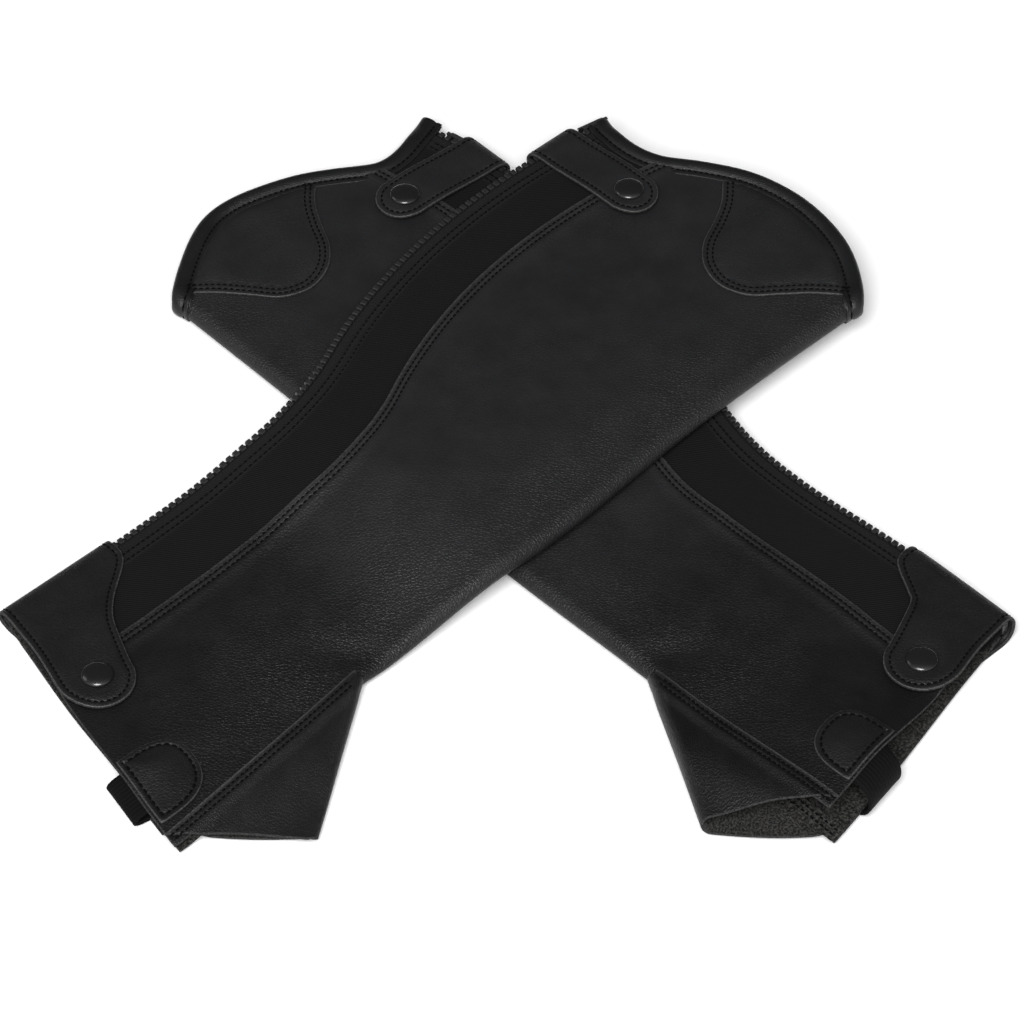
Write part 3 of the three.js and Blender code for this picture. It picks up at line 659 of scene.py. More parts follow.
def elastic_ribs(look, where):
    ribs, picks = look.waves(where, (1.0, 0.0, 0.0), 0.0019), look.waves(where, (0.0, 1.0, 0.0), 0.0012)
    return look.times(look.ranged(ribs, 0, 1, 0.3, 1), look.ranged(picks, 0, 1, 0.6, 1))


def twisted(look, where):
    return look.waves(where, (1.0, 1.6, 0.0), 0.0007)


def plastic():
    look = Look("zip_plastic", Specular_IOR_Level=0.5)
    marks = look.noise(look.add("ShaderNodeTexCoord", (), "Object"), 900.0, 4.0)
    return look.finished(Base_Color=look.mixed(marks, (0.010, 0.010, 0.011), (0.021, 0.021, 0.022)),
                         Roughness=look.ranged(marks, 0.3, 0.7, 0.22, 0.36), Normal=look.relief(marks, 0.00005))


def metal(name, colour, worn, roughness, metallic=1.0, coat=0.0):
    """Plated or enamelled metal with fine scratches and slightly worn colour."""
    look = Look(name, Metallic=metallic, Coat_Weight=coat, Coat_Roughness=0.04)
    where = look.add("ShaderNodeTexCoord", (), "Object")
    drawn = look.add("ShaderNodeMapping", {"Vector": where, "Scale": (1.0, 7.0, 1.0)})
    scratches = look.noise(drawn, 1400.0, 5.0, 0.7)
    return look.finished(Base_Color=look.mixed(look.ranged(scratches, 0.45, 0.75), colour, worn),
                         Roughness=look.ranged(scratches, 0.3, 0.7, roughness - 0.03, roughness + 0.08),
                         Normal=look.relief(scratches, 0.00001))


LOOKS = {
    "leather": leather("black_leather", (0.0058, 0.0059, 0.0064), (0.0122, 0.0125, 0.0135), 0.00155),
    "smooth": leather("binding_leather", (0.0035, 0.0036, 0.004), (0.0085, 0.0087, 0.0093), 0.0011, 0.10),
    "suede": suede(),
    "edge": raw_edge(),
    "twill": cloth("stretch_twill", (0.0014, 0.0014, 0.0016), (0.0085, 0.0085, 0.0092), twill, 0.00028, 0.01),
    "tape": cloth("zip_tape", (0.002, 0.002, 0.0022), (0.009, 0.009, 0.0096), herringbone, 0.0002, 0.01),
    "elastic": cloth("elastic", (0.0007, 0.0007, 0.0008), (0.0042, 0.0042, 0.0046), elastic_ribs, 0.0003, 0.0),
    "thread": cloth("thread", (0.0006, 0.0006, 0.0007), (0.0038, 0.0038, 0.0042), twisted, 0.00012, 0.0, 0.05),
    "plastic": plastic(),
    "enamel": metal("cap_enamel", (0.006, 0.006, 0.0066), (0.011, 0.011, 0.012), 0.2, 0.0, 0.3),
    "steel": metal("snap_steel", (0.45, 0.45, 0.46), (0.6, 0.6, 0.61), 0.24),
    "slider": metal("slider_plate", (0.30, 0.30, 0.31), (0.55, 0.55, 0.56), 0.26),
}
HIDE = [LOOKS["leather"], LOOKS["suede"], LOOKS["edge"]]


def wear_and_shade(piece, amount, name="worn"):
    """Stores the worn, matte or rim attribute that leather() reads, at each point of a piece. matte is painted
    shade: it darkens the colour.
    """
    worn = piece.data.attributes.new(name, "FLOAT", "POINT")
    worn.data.foreach_set("value", np.asarray(amount, np.float32))


def frayed(distance):
    return 1 - smoothstep(distance, 0.1, 0.45)


# ---------------- leather tube and stretch panel
def on_line(side, share, line):
    """The points at these shares of the way from the bottom edge to the knee edge, on the line v = line(u)."""
    u = lerp(side.bottom_u(50.0), side.knee_u(50.0), share)
    for _ in range(7):
        u = lerp(side.bottom_u(line(u)), side.knee_u(line(u)), share)
    return u, line(u)


def leather_body(side):
    """The tube: a grid with its columns from the front seam, round the shin fold, to the zip on the back. Below
    FLAP_CUT_U the front and the back are apart, and both end under the foot flap."""
    near = [0, 0.45, 0.9, 1.4, 2.0, 2.6, 3.2, 3.9, 4.6, 5.2, 5.8, 6.6, 8.0, 10.0, 13.0]
    turns = np.linspace(0, math.pi, 13)[1:]
    rows = np.concatenate([[0, 0.001, 0.0025], np.linspace(0.005, 0.995, 190), [0.9975, 0.999, 1]])
    whole_row = int(np.searchsorted(lerp(side.bottom_u(-30.0), side.knee_u(-30.0), rows), FLAP_CUT_U))

    def front_end(u):
        return np.where(u < FLAP_CUT_U, side.seam_foot_v(u) - FLAP_LAP, side.fold_v(u))

    def round_fold(u, turn):
        return np.where(u < FLAP_CUT_U, front_end(u), side.fold_v(u) - FOLD_R * math.sin(turn))

    columns = []        # of each: its line, its share (1 on the front, -1 on the back) and its lift
    for d in near:
        lift = SEAM_RISE * (1 - smoothstep(d, 4.5, 12)) - float(pressed(np.float64(d), SEAM_ROWS, 0.5))
        columns.append((lambda u, d=d: seam_v(u) - GAP / 2 - d, 1.0, lift))
    for t in np.linspace(0, 1, 34)[1:]:
        columns.append((lambda u, t=t: lerp(seam_v(u) - GAP / 2 - near[-1], front_end(u), t), 1.0, 0.0))
    front_count = len(columns)
    for turn in turns:
        columns.append((lambda u, turn=turn: round_fold(u, turn), math.cos(turn), 0.0))
    for t in np.linspace(0, 1, 40)[1:]:
        columns.append((lambda u, t=t: lerp(front_end(u), zip_v(u) - NEAR_ZIP[0], t), -1.0, 0.0))
    for d in NEAR_ZIP[1:]:
        columns.append((lambda u, d=d: zip_v(u) - d, -1.0, -0.3 * dents(d, TAPE_ROWS, 0.7)))

    points = np.zeros((len(rows), len(columns), 3))
    for k, (line, share, lift) in enumerate(columns):
        u, v = on_line(side, rows, line)
        if share >= 1.0:
            points[:, k] = side.front(u, v, lift - LEATHER / 2, fall=False)
        elif share <= -1.0:
            points[:, k] = side.back(u - side.reach(u, v), v, lift - LEATHER / 2)
        else:
            fold = side.fold_v(u)
            front = side.front(u, fold, -LEATHER / 2, fall=False)[:, 2]
            back = side.back(u, fold, -LEATHER / 2)[:, 2]
            points[:, k] = np.stack([u, v, lerp(back, front, (1 + share) / 2)], axis=1)
    keep = np.ones((len(rows) - 1, len(columns) - 1), bool)
    keep[:whole_row, front_count - 1:front_count + len(turns) - 1] = False
    every, faces, look, source = grid_sheet(points, LEATHER, keep=keep)

    unrolled = points[..., 1].copy()
    for k in range(front_count, len(columns)):
        bend = min(k - front_count + 1, len(turns)) / len(turns) * math.pi
        edge = front_end(points[:, k, 0])
        back = np.maximum(points[:, k, 1] - edge, 0) * (k >= front_count + len(turns))
        unrolled[:, k] = edge - FOLD_R * bend - back
    flat = np.stack([points[..., 0], unrolled, 0 * unrolled], axis=-1).reshape(-1, 3)[source]
    piece = build("body_leather", side, "leather_shell", every, faces, HIDE, side.body, look,
                  flat)
    from_seam = np.array(near + [99.0] * (len(columns) - len(near)))[source % len(columns)]
    wear_and_shade(piece, 0.5 * (1 - smoothstep(from_seam, 0.5, 1.6)) + 0.16 * bell(from_seam, 3.9, 0.6), "rim")
    wear_and_shade(piece, bell(flat[:, 1], side.shin, 34) * 0.9 + 0.1 * bell(flat[:, 0], -150, 60) * (flat[:, 1] < 60))
    # painted shade: the body leather's colour darkens toward the foot end
    wear_and_shade(piece, 0.75 * smoothstep(-flat[:, 0], 35, 110), "matte")
    width, length = float(lengths(points[len(rows) // 2])[-1]) * MM, 0.46


def panel_surface(side):
    """The outer face of the twill panel, which dips under the leather at its seam."""
    def surface(u, v, off):
        points = side.front(u, v, off - 0.25)
        points[:, 2] -= 0.9 * (1 - smoothstep(v - seam_v(u), -1.5, 2.5))
        return points
    return surface


def twill_panel(side):
    thickness = 0.9
    over = [-7.0, -3.0, -1.0, 0.0, 1.0, 2.0, 3.5, 6.0]
    rows = np.concatenate([[0.0, 0.002], np.linspace(0.005, 0.995, 190), [0.998, 1.0]])
    lines = [lambda u, d=d: seam_v(u) + d for d in over]
    lines += [lambda u, t=t: lerp(seam_v(u) + over[-1], zip_v(u) - NEAR_ZIP[0], t)
              for t in np.linspace(0, 1, 9)[1:]]
    lines += [lambda u, d=d: zip_v(u) - d for d in NEAR_ZIP[1:]]
    surface = panel_surface(side)
    points = np.zeros((len(rows), len(lines), 3))
    for k, line in enumerate(lines):
        u, v = on_line(side, rows, line)
        points[:, k] = surface(u, v, -thickness / 2 - 0.3 * dents(zip_v(u) - v, TAPE_ROWS, 0.7))
    every, faces, look, source = grid_sheet(points, thickness)
    piece = build("twill_panel", side, "stretch_panel", every, faces, [LOOKS["twill"]] * 3,
                  side.body, look)
    away = (zip_v(points[..., 0]) - points[..., 1]).reshape(-1)[source]
    wear_and_shade(piece, 0.75 * clip01(smoothstep(-away, -15.6, -14.6) - 0.8 * dents(away, TAPE_ROWS, 0.8)))


# ---------------- zip
def zip_tape(side, where, up):
    """A woven tape, trimmed along the knee edge."""
    thickness, below = 0.6, 1.3
    across = np.concatenate([np.linspace(-TAPE_WIDTH, -2.2, 11), [-1.6, -1.1, -0.7]])
    rows = np.linspace(0, 1, 200)
    whole = np.linspace(0, zip_length - 2 + side.tape_end, 900)
    points, reach = np.zeros((len(rows), len(across), 3)), np.zeros(len(across))
    for k, off in enumerate(across):
        u, v = zip_at(whole, off)
        reach[k] = whole[u <= side.knee_u(np.minimum(v, KNEE_END_V)) + 1.2].max()
        u, v = zip_at(rows * reach[k], off)
        height = LAYER - EDGE_FALL * smoothstep(off, -17, -1) - below
        points[:, k] = np.stack([u, v, side.settle(u, v, MID_Z + up * height)], axis=1)
    every, faces, look, source = grid_sheet(points, thickness, up)
    column = source % len(across)
    flat = np.stack([rows[source // len(across)] * reach[column], across[column], 0 * source], axis=1)
    build(f"tape_{where}", side, f"zip_tape_{where}", every, faces, [LOOKS["tape"]] * 3, side.body,
          look, flat)


def zip_teeth(side, where, up):
    """One row of moulded teeth, whose heads sit between those of the other row."""
    half = [(1.0, 3.3), (1.3, 2.9), (1.3, 1.7), (0.6, 1.15), (0.6, 0.55), (0.8, 0.2), (0.8, -0.9), (0.45, -1.3)]
    outline = np.array(half + [(-a, h) for a, h in reversed(half)])
    stations = [(-2.5, 0.85), (-2.2, 1.0), (0.35, 1.0), (0.8, 0.8)]     # distance from the zip line, and scale
    first, last = 9.8 + (0 if up > 0 else TOOTH_PITCH / 2), zip_length - 4.2 + side.stop_slide
    middle, count = outline.mean(axis=0), len(outline)
    points, faces = [], []
    for place in np.arange(first, last, TOOTH_PITCH):
        faces += swept_faces(len(stations), count, len(points))
        for off, scale in stations:
            ring = middle + (outline - middle) * scale
            u, v = zip_at(place + ring[:, 0], np.full(count, off))
            points.extend(np.stack([u, v, side.settle(u, v, MID_Z + up * ring[:, 1])], axis=1))
    build(f"teeth_{where}", side, f"zip_teeth_{where}", np.array(points), faces, [LOOKS["plastic"]],
          side.body, smooth=False)


def softened(node):
    """A slider or pull keeps the CAD node's shape, with soft edges and a finished material."""
    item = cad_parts[node]
    item.data.materials.clear()
    item.data.materials.append(LOOKS["slider"])
    rounded(item, 0.22)


def rounded(item, width):
    flats = item.modifiers.new("flats", "DECIMATE")
    flats.decimate_type = "DISSOLVE"
    flats.angle_limit = math.radians(2)
    bevel = item.modifiers.new("edges", "BEVEL")
    bevel.width = width * MM
    bevel.segments = 3
    bevel.limit_method = "ANGLE"
    bevel.angle_limit = math.radians(35)


def settled(side, node, slide, moved):
    """A plastic CAD node's shape, slid up the leg. If moved, it follows the soft leather's height."""
    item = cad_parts[f"{side.name}_{node}"]
    world = np.array([item.matrix_world @ corner.co for corner in item.data.vertices]) / MM
    across, along, z = world[:, 0] + side.shift, world[:, 1] - side.shift, world[:, 2]
    u, v = (along, -across) if side.right else (-across, along)
    if moved:
        z = side.settle(u, v, z)
    faces = [tuple(face.vertices) for face in item.data.polygons]
    piece = build(f"{node}_moulded", side, node, np.stack([u + slide, v, z], axis=1), faces, [LOOKS["plastic"]],
                  side.body, smooth=False)
    rounded(piece, 0.35)


def zip_line(side, off, surface):
    """A flat line off millimetres from the zip, with the surface it is sewn on."""
    u, v = zip_at(np.linspace(0, zip_length - 3, 220), off)
    sewn = u <= side.knee_u(np.minimum(v, KNEE_END_V)) - 1.5
    return np.stack([u[sewn], v[sewn]], axis=1), surface


# ---------------- binding, patches and foot flap
def knee_edge(side):
    """The leather's knee edge, from the zip on the front, round the shin fold, to the zip on the back:
    points, outward directions in the leather's own surface, and surface normals."""
    straight = 110
    fold = float(side.fold_v(float(side.knee_u(side.shin))))
    v_front = np.linspace(KNEE_END_V, fold, straight)
    turns = np.linspace(0, math.pi, 22)[1:-1]
    v = np.concatenate([v_front, fold - FOLD_R * np.sin(turns), v_front[::-1]])
    u = side.knee_u(v)
    on_leather = np.maximum(v, side.fold_v(u))
    front = side.front(u, on_leather, -LEATHER / 2)[:, 2]
    back = side.back(u, on_leather, -LEATHER / 2)[:, 2]
    bend = np.concatenate([np.zeros(straight), turns, np.full(straight, math.pi)])
    points = np.stack([u, v, lerp(back, front, (1 + np.cos(bend)) / 2)], axis=1)
    facing = np.stack([0 * bend, -np.sin(bend), np.cos(bend)], axis=1)
    way = normalised(np.gradient(points, axis=0))
    out = normalised(np.cross(facing, way))
    out *= np.sign(out[:, :1])
    normal = normalised(np.cross(way, out))
    return points, out, normal * np.sign(np.sum(normal * facing, axis=1))[:, None]


BINDING_ROW, BINDING_ROW_Z = -4.7, 1.05


def rolled_binding(side):
    """A leather strip rolled over the knee edge: its section, in distance outwards and height, swept along."""
    points, out, normal = knee_edge(side)
    roll = [(-7.7, 0.74), (-7.1, 0.94), (-6.4, 1.12), (-5.7, 1.2), (-5.2, 1.14), (-4.7, 0.95), (-4.1, 1.3),
            (-3.4, 1.9), (-2.2, 2.35), (-0.8, 2.6), (0.8, 2.6), (2.1, 2.15), (3.0, 1.2), (3.3, 0.0)]
    lower = [(a, -h * (0.72 if a < -3 else 0.86)) for a, h in reversed(roll[:-1])]
    core = [(-5.6, -0.78), (-0.2, -0.78), (0.1, 0.0), (-0.2, 0.78), (-6.9, 0.78)]
    section = np.array(roll + lower + core)
    placed = points[:, None] + out[:, None] * section[None, :, :1] + normal[:, None] * section[None, :, 1:]
    placed[..., 2] = np.maximum(placed[..., 2], 0.05)
    along, girth = lengths(points)[:, None], lengths(section)[None, :]
    flat = np.stack(np.broadcast_arrays(along, girth, 0 * girth), axis=-1).reshape(-1, 3)
    build("rolled_binding", side, "knee_binding", placed.reshape(-1, 3), swept_faces(len(points), len(section)),
          [LOOKS["smooth"]], side.body, flat=flat)


def binding_stitch_runs(side):
    edge = knee_edge(side)
    along = lengths(edge[0])

    def surface(a, b, off):
        point, out, normal = (np.stack([np.interp(a, along, x[:, k]) for k in range(3)], axis=1) for x in edge)
        return point + out * b[:, None] + normalised(normal) * (BINDING_ROW_Z + off)

    line = np.stack([np.linspace(2, along[-1] - 2, 400), np.full(400, BINDING_ROW)], axis=1)
    return [(line, surface)]


PATCH_LIFT = 0.1           # patches lie this far above the leather
KNEE_PATCH_BORDER = [(207, 70.5), (196, 60.5), (184, 53.5), (170, 46.5), (160, 36), (156, 22), (160.5, 8),
                     (172, -2), (185, -12.5), (197, -25)]


def knee_patch_lines(side):
    """The knee patch's sewn border, and its other side, under the binding."""
    border = smooth_line(KNEE_PATCH_BORDER, 1.6)
    border[:, 0] += side.knee + 4 + 0.6 * side.knee_apex
    v = np.linspace(border[-1, 1] - 0.5, border[0, 1] + 1, 60)
    rim = np.stack([side.knee_u(v) - 1.2, v], axis=1)
    return border, rim


def raised(side, lift):
    """The surface lift millimetres above the front leather."""
    return lambda u, v, off: side.front(u, v, lift + off, fall=False)


def flat_piece(name, side, outline, surface, thickness, rows, node, dome=0.0, depth=0.45, outside=1.0,
               under=None):
    """A flat sewn piece: an outline filled, pressed down at its stitch rows and laid on a surface. It sinks by
    under(u, v) where something holds it down."""
    flat, faces, distance = filled(outline)
    lift = thickness / 2 - pressed(distance, rows, depth) + dome * smoothstep(distance, 3, 14)
    if under:
        lift = lift - under(*flat.T)
    every, faces, look, source = thick(surface(*flat.T, lift), faces, thickness, outside)
    piece = build(name, side, node, every, faces, HIDE, side.body, look, level(flat[source]))
    wear_and_shade(piece, 0.25 + 0 * source)
    # painted shade: a patch's colour is darker where it lies on the foot half
    wear_and_shade(piece, 0.6 * (flat[source, 0] < 0), "matte")
    wear_and_shade(piece, frayed(distance[source]), "rim")


def knee_patch(side):
    border, rim = knee_patch_lines(side)
    flat_piece("knee_patch_leather", side, np.concatenate([border, rim[1:-1]]), raised(side, PATCH_LIFT), PATCH,
               LEATHER_ROWS, "knee_patch", 0.5,
               under=lambda u, v: 1.15 * (1 - smoothstep(side.knee_u(v) - u, 7.0, 10.5)))


def band_patch_outline(side):
    """A D: a straight side on the bottom edge, square shoulders and a round top."""
    half, depth = side.patch
    shoulder = 7
    turn = np.linspace(0, math.pi, 28)
    v = side.patch_v + half * np.sign(np.cos(turn)) * np.abs(np.cos(turn)) ** 0.8
    u = side.bottom_u(v) + shoulder + (depth - shoulder) * np.sin(turn) ** 0.75
    high, low = ([(side.bottom_u(at) + 1.2, at)] for at in (side.patch_v + half, side.patch_v - half))
    return np.concatenate([high, np.stack([u, v], axis=1), low])


def band_patch(side, where):
    front = where == "front"
    surface = raised(side, PATCH_LIFT) if front else (lambda u, v, off: side.back(u, v, 0.05 + off))
    thickness, dome, outside = (PATCH, 1.3, 1.0) if front else (1.0, 0.0, -1.0)
    flat_piece(f"band_patch_{where}_leather", side, even(looped(band_patch_outline(side)), 1.6)[:-1], surface,
               thickness, BAND_PATCH_ROWS, f"band_patch_{where}", dome, depth=0.6, outside=outside)


def foot_flap_points(side, s, t, part):
    """The foot flap's mid surface. s runs from the shin to the bottom edge and t from the seam to the fold;
    part is an angle round the fold: 0 on the front, pi on the back."""
    top = INSTEP_U + 3
    start, toe = np.array([top, -26.8]), np.array(side.toe)
    heel = np.array([float(side.bottom_u(side.heel_v)) - 0.6, side.heel_v + 0.6])
    fold_start = np.array([top, float(side.fold_v(top)) - FOLD_R - LEATHER - 0.3 + FLAP_FOLD + side.fold_in])
    s = s * lerp(1.0, lerp(side.heel_tuck, side.tuck, t), part / math.pi)
    seam = start + (heel - start) * s[:, None]
    seam[:, 0] -= side.reach(seam[:, 0], seam[:, 1]) * part / math.pi
    fold = fold_start + (toe - fold_start) * s[:, None]
    flat = seam + (fold - seam) * t[:, None]
    flat[:, 0] += lerp(side.mouth[0], side.mouth[1], part / math.pi) * np.sin(math.pi * t) * s ** 3
    return flat + normalised(fold - seam) * (FLAP_FOLD * np.sin(part))[:, None]


def foot_flap(side):
    rows = np.concatenate([[0, 0.004], np.linspace(0.012, 0.988, 84), [0.996, 1.0]])
    shares = np.concatenate([[0, 0.009], np.linspace(0.02, 0.3, 16), np.linspace(0.34, 1, 16)])
    turns = np.linspace(0, math.pi, 11)[1:-1]
    t = np.concatenate([shares, np.ones(len(turns)), shares[::-1]])
    part = np.concatenate([0 * shares, turns, np.full(len(shares), math.pi)])
    seam = foot_flap_points(side, np.linspace(0, 1, 40), np.zeros(40), np.zeros(40))
    points, edges = np.zeros((len(rows), len(t), 3)), np.zeros((len(rows), len(t)))
    for k in range(len(t)):
        flat = foot_flap_points(side, rows, np.full(len(rows), t[k]), np.full(len(rows), part[k]))
        u, v = flat.T
        edge = distance_to(flat, seam)
        edges[:, k] = edge + 9 * part[k]
        lap = FLAP_OVER * (1 - smoothstep(edge, 5.0, 11.0)) - pressed(edge, FLAP_ROWS, 0.5)
        front = flap_top(side, u, v, lap - LEATHER / 2)[:, 2]
        back = side.settle(u, v, MID_Z - LAYER) + np.maximum(lap, 0) * 0.9
        points[:, k] = np.stack([u, v, lerp(back, front, (1 + math.cos(part[k])) / 2)], axis=1)
    every, faces, look, source = grid_sheet(points, LEATHER)
    spread = lengths(points[-1])
    flat = np.stack([points.reshape(-1, 3)[source, 0] * 1.3, spread[source % len(t)], 0 * source], axis=1)
    piece = build("foot_flap_leather", side, "foot_flap", every, faces, HIDE, side.body, look,
                  flat)
    wear_and_shade(piece, 0.35 + 0 * source)
    # painted shade: the foot flap's colour is darkened by the side's flap_painted_shade amount
    wear_and_shade(piece, side.flap_painted_shade + 0 * source, "matte")
    wear_and_shade(piece, 1 - smoothstep(edges.reshape(-1)[source], 0.4, 1.1), "rim")


def seam_allowance(side):
    """The foot flap's margin inside the tube, along the back seam, with its two sewn rows."""
    thickness, rows, start, end = 1.0, (2.4, 5.4), 0.4, 8.6
    s = np.linspace(0.45, 1.0, 60)
    line = foot_flap_points(side, s, 0 * s, 0 * s + math.pi)
    sign = 1.0 if beside(line, 1.0)[:, 1].mean() < line[:, 1].mean() else -1.0
    near = beside(line, start * sign)
    outline = even(looped(np.concatenate([near, beside(line, end * sign)[::-1]])), 1.5)[:-1]

    def surface(u, v, off):
        z = side.settle(u, v, MID_Z - LAYER + 0 * u) + LEATHER + 0.9 + thickness / 2 + off
        return np.stack([u, v, z], axis=1)

    flat, faces, _ = filled(outline, 2.0)
    points = surface(*flat.T, -0.5 * dents(distance_to(flat, near), rows, 0.8))
    every, faces, look, source = thick(points, faces, thickness)
    build("seam_allowance", side, None, every, faces, [LOOKS["suede"]] * 3, side.body, look,
          level(flat[source]))

    def sewn(u, v, off):
        return surface(u, v, off + thickness / 2 - THREAD_SINK)

    runs = [(beside(line, (start + row) * sign), sewn) for row in rows]
    stitches("seam_allowance_stitches", side, runs, side.body)


def foot_flap_runs(side):
    runs = []
    start = foot_flap_points(side, np.linspace(0.0, 1, 60), np.zeros(60), np.zeros(60))
    for row in FLAP_ROWS:
        line = beside(start, row)
        if np.mean(line[:, 1]) > np.mean(start[:, 1]):
            line = beside(start, -row)
        runs.append((line[3:], lambda u, v, off: flap_top(side, u, v, off + FLAP_OVER - THREAD_SINK)))
    return runs


def flap_top(side, u, v, off):
    """Points off millimetres above the foot flap's front."""
    inside_v = np.maximum(v, side.fold_v(u) + 0.5)
    z = side.settle(u, v, MID_Z + LAYER) + side.swell(u, inside_v) * smoothstep(v, -80, -36) + LEATHER / 2 + off
    return np.stack([u, v, z], axis=1)


# ---------------- strips that turn round an edge
def wrapped(b, start, depth, low, high):
    """Along a strip that lies on top up to start, turns round an edge and comes back underneath: the position
    across the edge, the height, the outward normal and the length of the turn."""
    b = np.asarray(b, float)
    half = (high - low) / 2
    arc = math.pi * math.sqrt((depth ** 2 + half ** 2) / 2)
    turn = clip01((b - start) / arc) * math.pi

    def square(x):
        return np.sign(x) * np.abs(x) ** 0.85

    v = np.where(b < start, b, start + depth * square(np.sin(turn)))
    v = np.where(b > start + arc, 2 * start + arc - b, v)
    z = low + half + half * square(np.cos(turn))
    normal = normalised(np.stack([np.sin(turn) / depth, np.cos(turn) / half], axis=1))
    return v, z, normal[:, 0], normal[:, 1], arc


def flap_rise(v, start, snap_v, tip):
    """The height of a flap above the leather: it rises to its snap and droops again at its tip."""
    up = smoothstep(start - v, 0, start - snap_v - 8)
    droop = 1.1 * smoothstep(snap_v - v, 5, max(snap_v - tip, 6))
    return GAP + (SNAP_LIFT - GAP) * up - droop


def strip_surface(side, zip_here, loop, snap_v, tip):
    """The surface of a strip that turns round the zip, and where it lies on the back."""
    start, half = zip_here - 6, STRIP / 2
    turn = (start, 6 + loop + half, half + 0.05, TOP_Z + GAP + half)

    def surface(u, b, off):
        v, z, nv, nz, _ = wrapped(b, *turn)
        rise = np.where(b < start, flap_rise(b, start, snap_v, tip) - GAP, 0)
        z = side.settle(u, v, z) + rise
        return np.stack([u + 0 * v, v + nv * off, z + nz * off], axis=1)

    return surface, 2 * start + wrapped(np.zeros(1), *turn)[4] - zip_here


def strap(side):
    """The knee strap: one strip from its round tip, over the zip edge, to its sewn end on the back."""
    middle = side.strap_u
    zip_here = float(zip_v(middle))
    snap_v, tip = zip_here - STRAP_SNAP, zip_here - STRAP_REACH
    surface, back = strip_surface(side, zip_here, STRAP_LOOP, snap_v, tip)
    end = back + STRAP_SEWN
    turn = np.linspace(math.pi / 2, 3 * math.pi / 2, 30)
    round_tip = np.stack([middle + STRAP_HALF * np.sin(turn), tip + STRAP_HALF * (1 + np.cos(turn))], axis=1)
    corners = [(middle - STRAP_HALF, end), (middle + STRAP_HALF, end)]
    outline = even(looped(np.concatenate([round_tip, corners])), 1.5)[:-1]
    flap_piece("strap", side, outline, surface, (middle, snap_v))


def cuff_outline(side, end):
    """The ankle cuff: wide at the zip edge, with an S-shaped upper side and a round lobe at the snap."""
    snap_u, snap_v = side.cuff_snap
    top, low = CUFF_TOP, side.cuff_low
    fold = ANKLE_ZIP_V - 3
    upper = [(top, fold + 4), (top - 3, fold - 9), (lerp(top, snap_u, 0.36), lerp(fold, snap_v, 0.42)),
             (snap_u + 28, snap_v + 23), (snap_u + 22, snap_v + 11), (snap_u + 16.2, snap_v - 3)]
    turn = np.radians(np.linspace(-22, -168, 16))
    lobe = np.stack([snap_u + CUFF_LOBE * np.cos(turn), snap_v + CUFF_LOBE * np.sin(turn)], axis=1)
    lower = [(snap_u - CUFF_LOBE, snap_v + 6), (lerp(snap_u - CUFF_LOBE, low, 0.6), lerp(snap_v, fold, 0.55)),
             (low, fold)]
    curve = smooth_line(upper + lobe.tolist() + lower, 1.5)
    straight = even(np.array([(low, fold), (low, end), (top, end), (top, fold + 4)]), 1.5)
    return np.concatenate([curve, straight[1:-1]])


def cuff(side):
    snap_v = side.cuff_snap[1]
    surface, back = strip_surface(side, ANKLE_ZIP_V, CUFF_LOOP, snap_v, snap_v - CUFF_LOBE)
    flap_piece("cuff", side, cuff_outline(side, back + CUFF_SEWN), surface, side.cuff_snap)


FLAP_ROW = 2.6


def flap_piece(name, side, outline, surface, snap):
    """A snap-fastened flap with its edge stitching, both laid on the surface that turns round the zip edge."""
    flat, faces, distance = filled(outline, 2.2)
    near_snap = np.hypot(flat[:, 0] - snap[0], flat[:, 1] - snap[1])
    points = surface(*flat.T, -pressed(distance, (FLAP_ROW,)) - 0.25 * bell(near_snap, 7.5, 2.0))
    every, faces, look, source = thick(points, faces, STRIP)
    looks = [LOOKS["leather"], LOOKS["leather"], LOOKS["edge"]]
    piece = build(name, side, None, every, faces, looks, None, look, level(flat[source]))
    wear_and_shade(piece, 0.15 + 0 * source)
    # painted shade: a flap's colour is darker where it lies on the foot half
    wear_and_shade(piece, 0.5 * (flat[source, 0] < 0), "matte")
    wear_and_shade(piece, frayed(distance[source]), "rim")
    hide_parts(f"{side.name}_{name}_flap", f"{side.name}_{name}_loop")
    row = inner_row(looped(outline), FLAP_ROW, 0.93 * FLAP_ROW)
    run = (row, lambda u, b, off: surface(u, b, off + STRIP / 2 - 0.4))
    threads = stitches(f"{name}_stitches", side, [run])
    low = Vector(side.place([[snap[0], 0, side.settle(np.float64(snap[0]), np.float64(100.0), MID_Z)]])[0])
    for item in (piece, threads):
        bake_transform(item)


# ---------------- under-foot elastic band
def elastic_band(side):
    """The band leaves the mouth, turns under the foot end and goes back in. It is flat on the floor at last."""
    thickness, half, hidden = 1.5, 11.5, 16
    across, length = np.linspace(-half, half, 12), np.linspace(0, 1, 70)
    turn = length * math.pi
    points = np.zeros((len(length), len(across), 3))
    for k, offset in enumerate(across):
        v = np.full(len(length), side.band_v + offset)
        edge, reach = side.bottom_u(v), side.band_reach
        out = -hidden + (reach + hidden) * np.sin(turn) ** 0.55
        out = np.where((length < 0.25) | (length > 0.75), np.minimum(out, reach), out)
        front = side.front(edge + 4, v, -LEATHER - 0.9)[:, 2]
        z = lerp(front, 1.0, smoothstep(length, 0.12, 0.9))
        points[:, k] = np.stack([edge - out, v + 1.2 * np.sin(turn), z], axis=1)
    every, faces, look, source = grid_sheet(points, thickness)
    flat = np.stack([across[source % len(across)], length[source // len(across)] * 60, 0 * source], axis=1)
    piece = build("elastic_band", side, "under_foot_band", every, faces, [LOOKS["elastic"]] * 3,
                  side.body, look, flat)


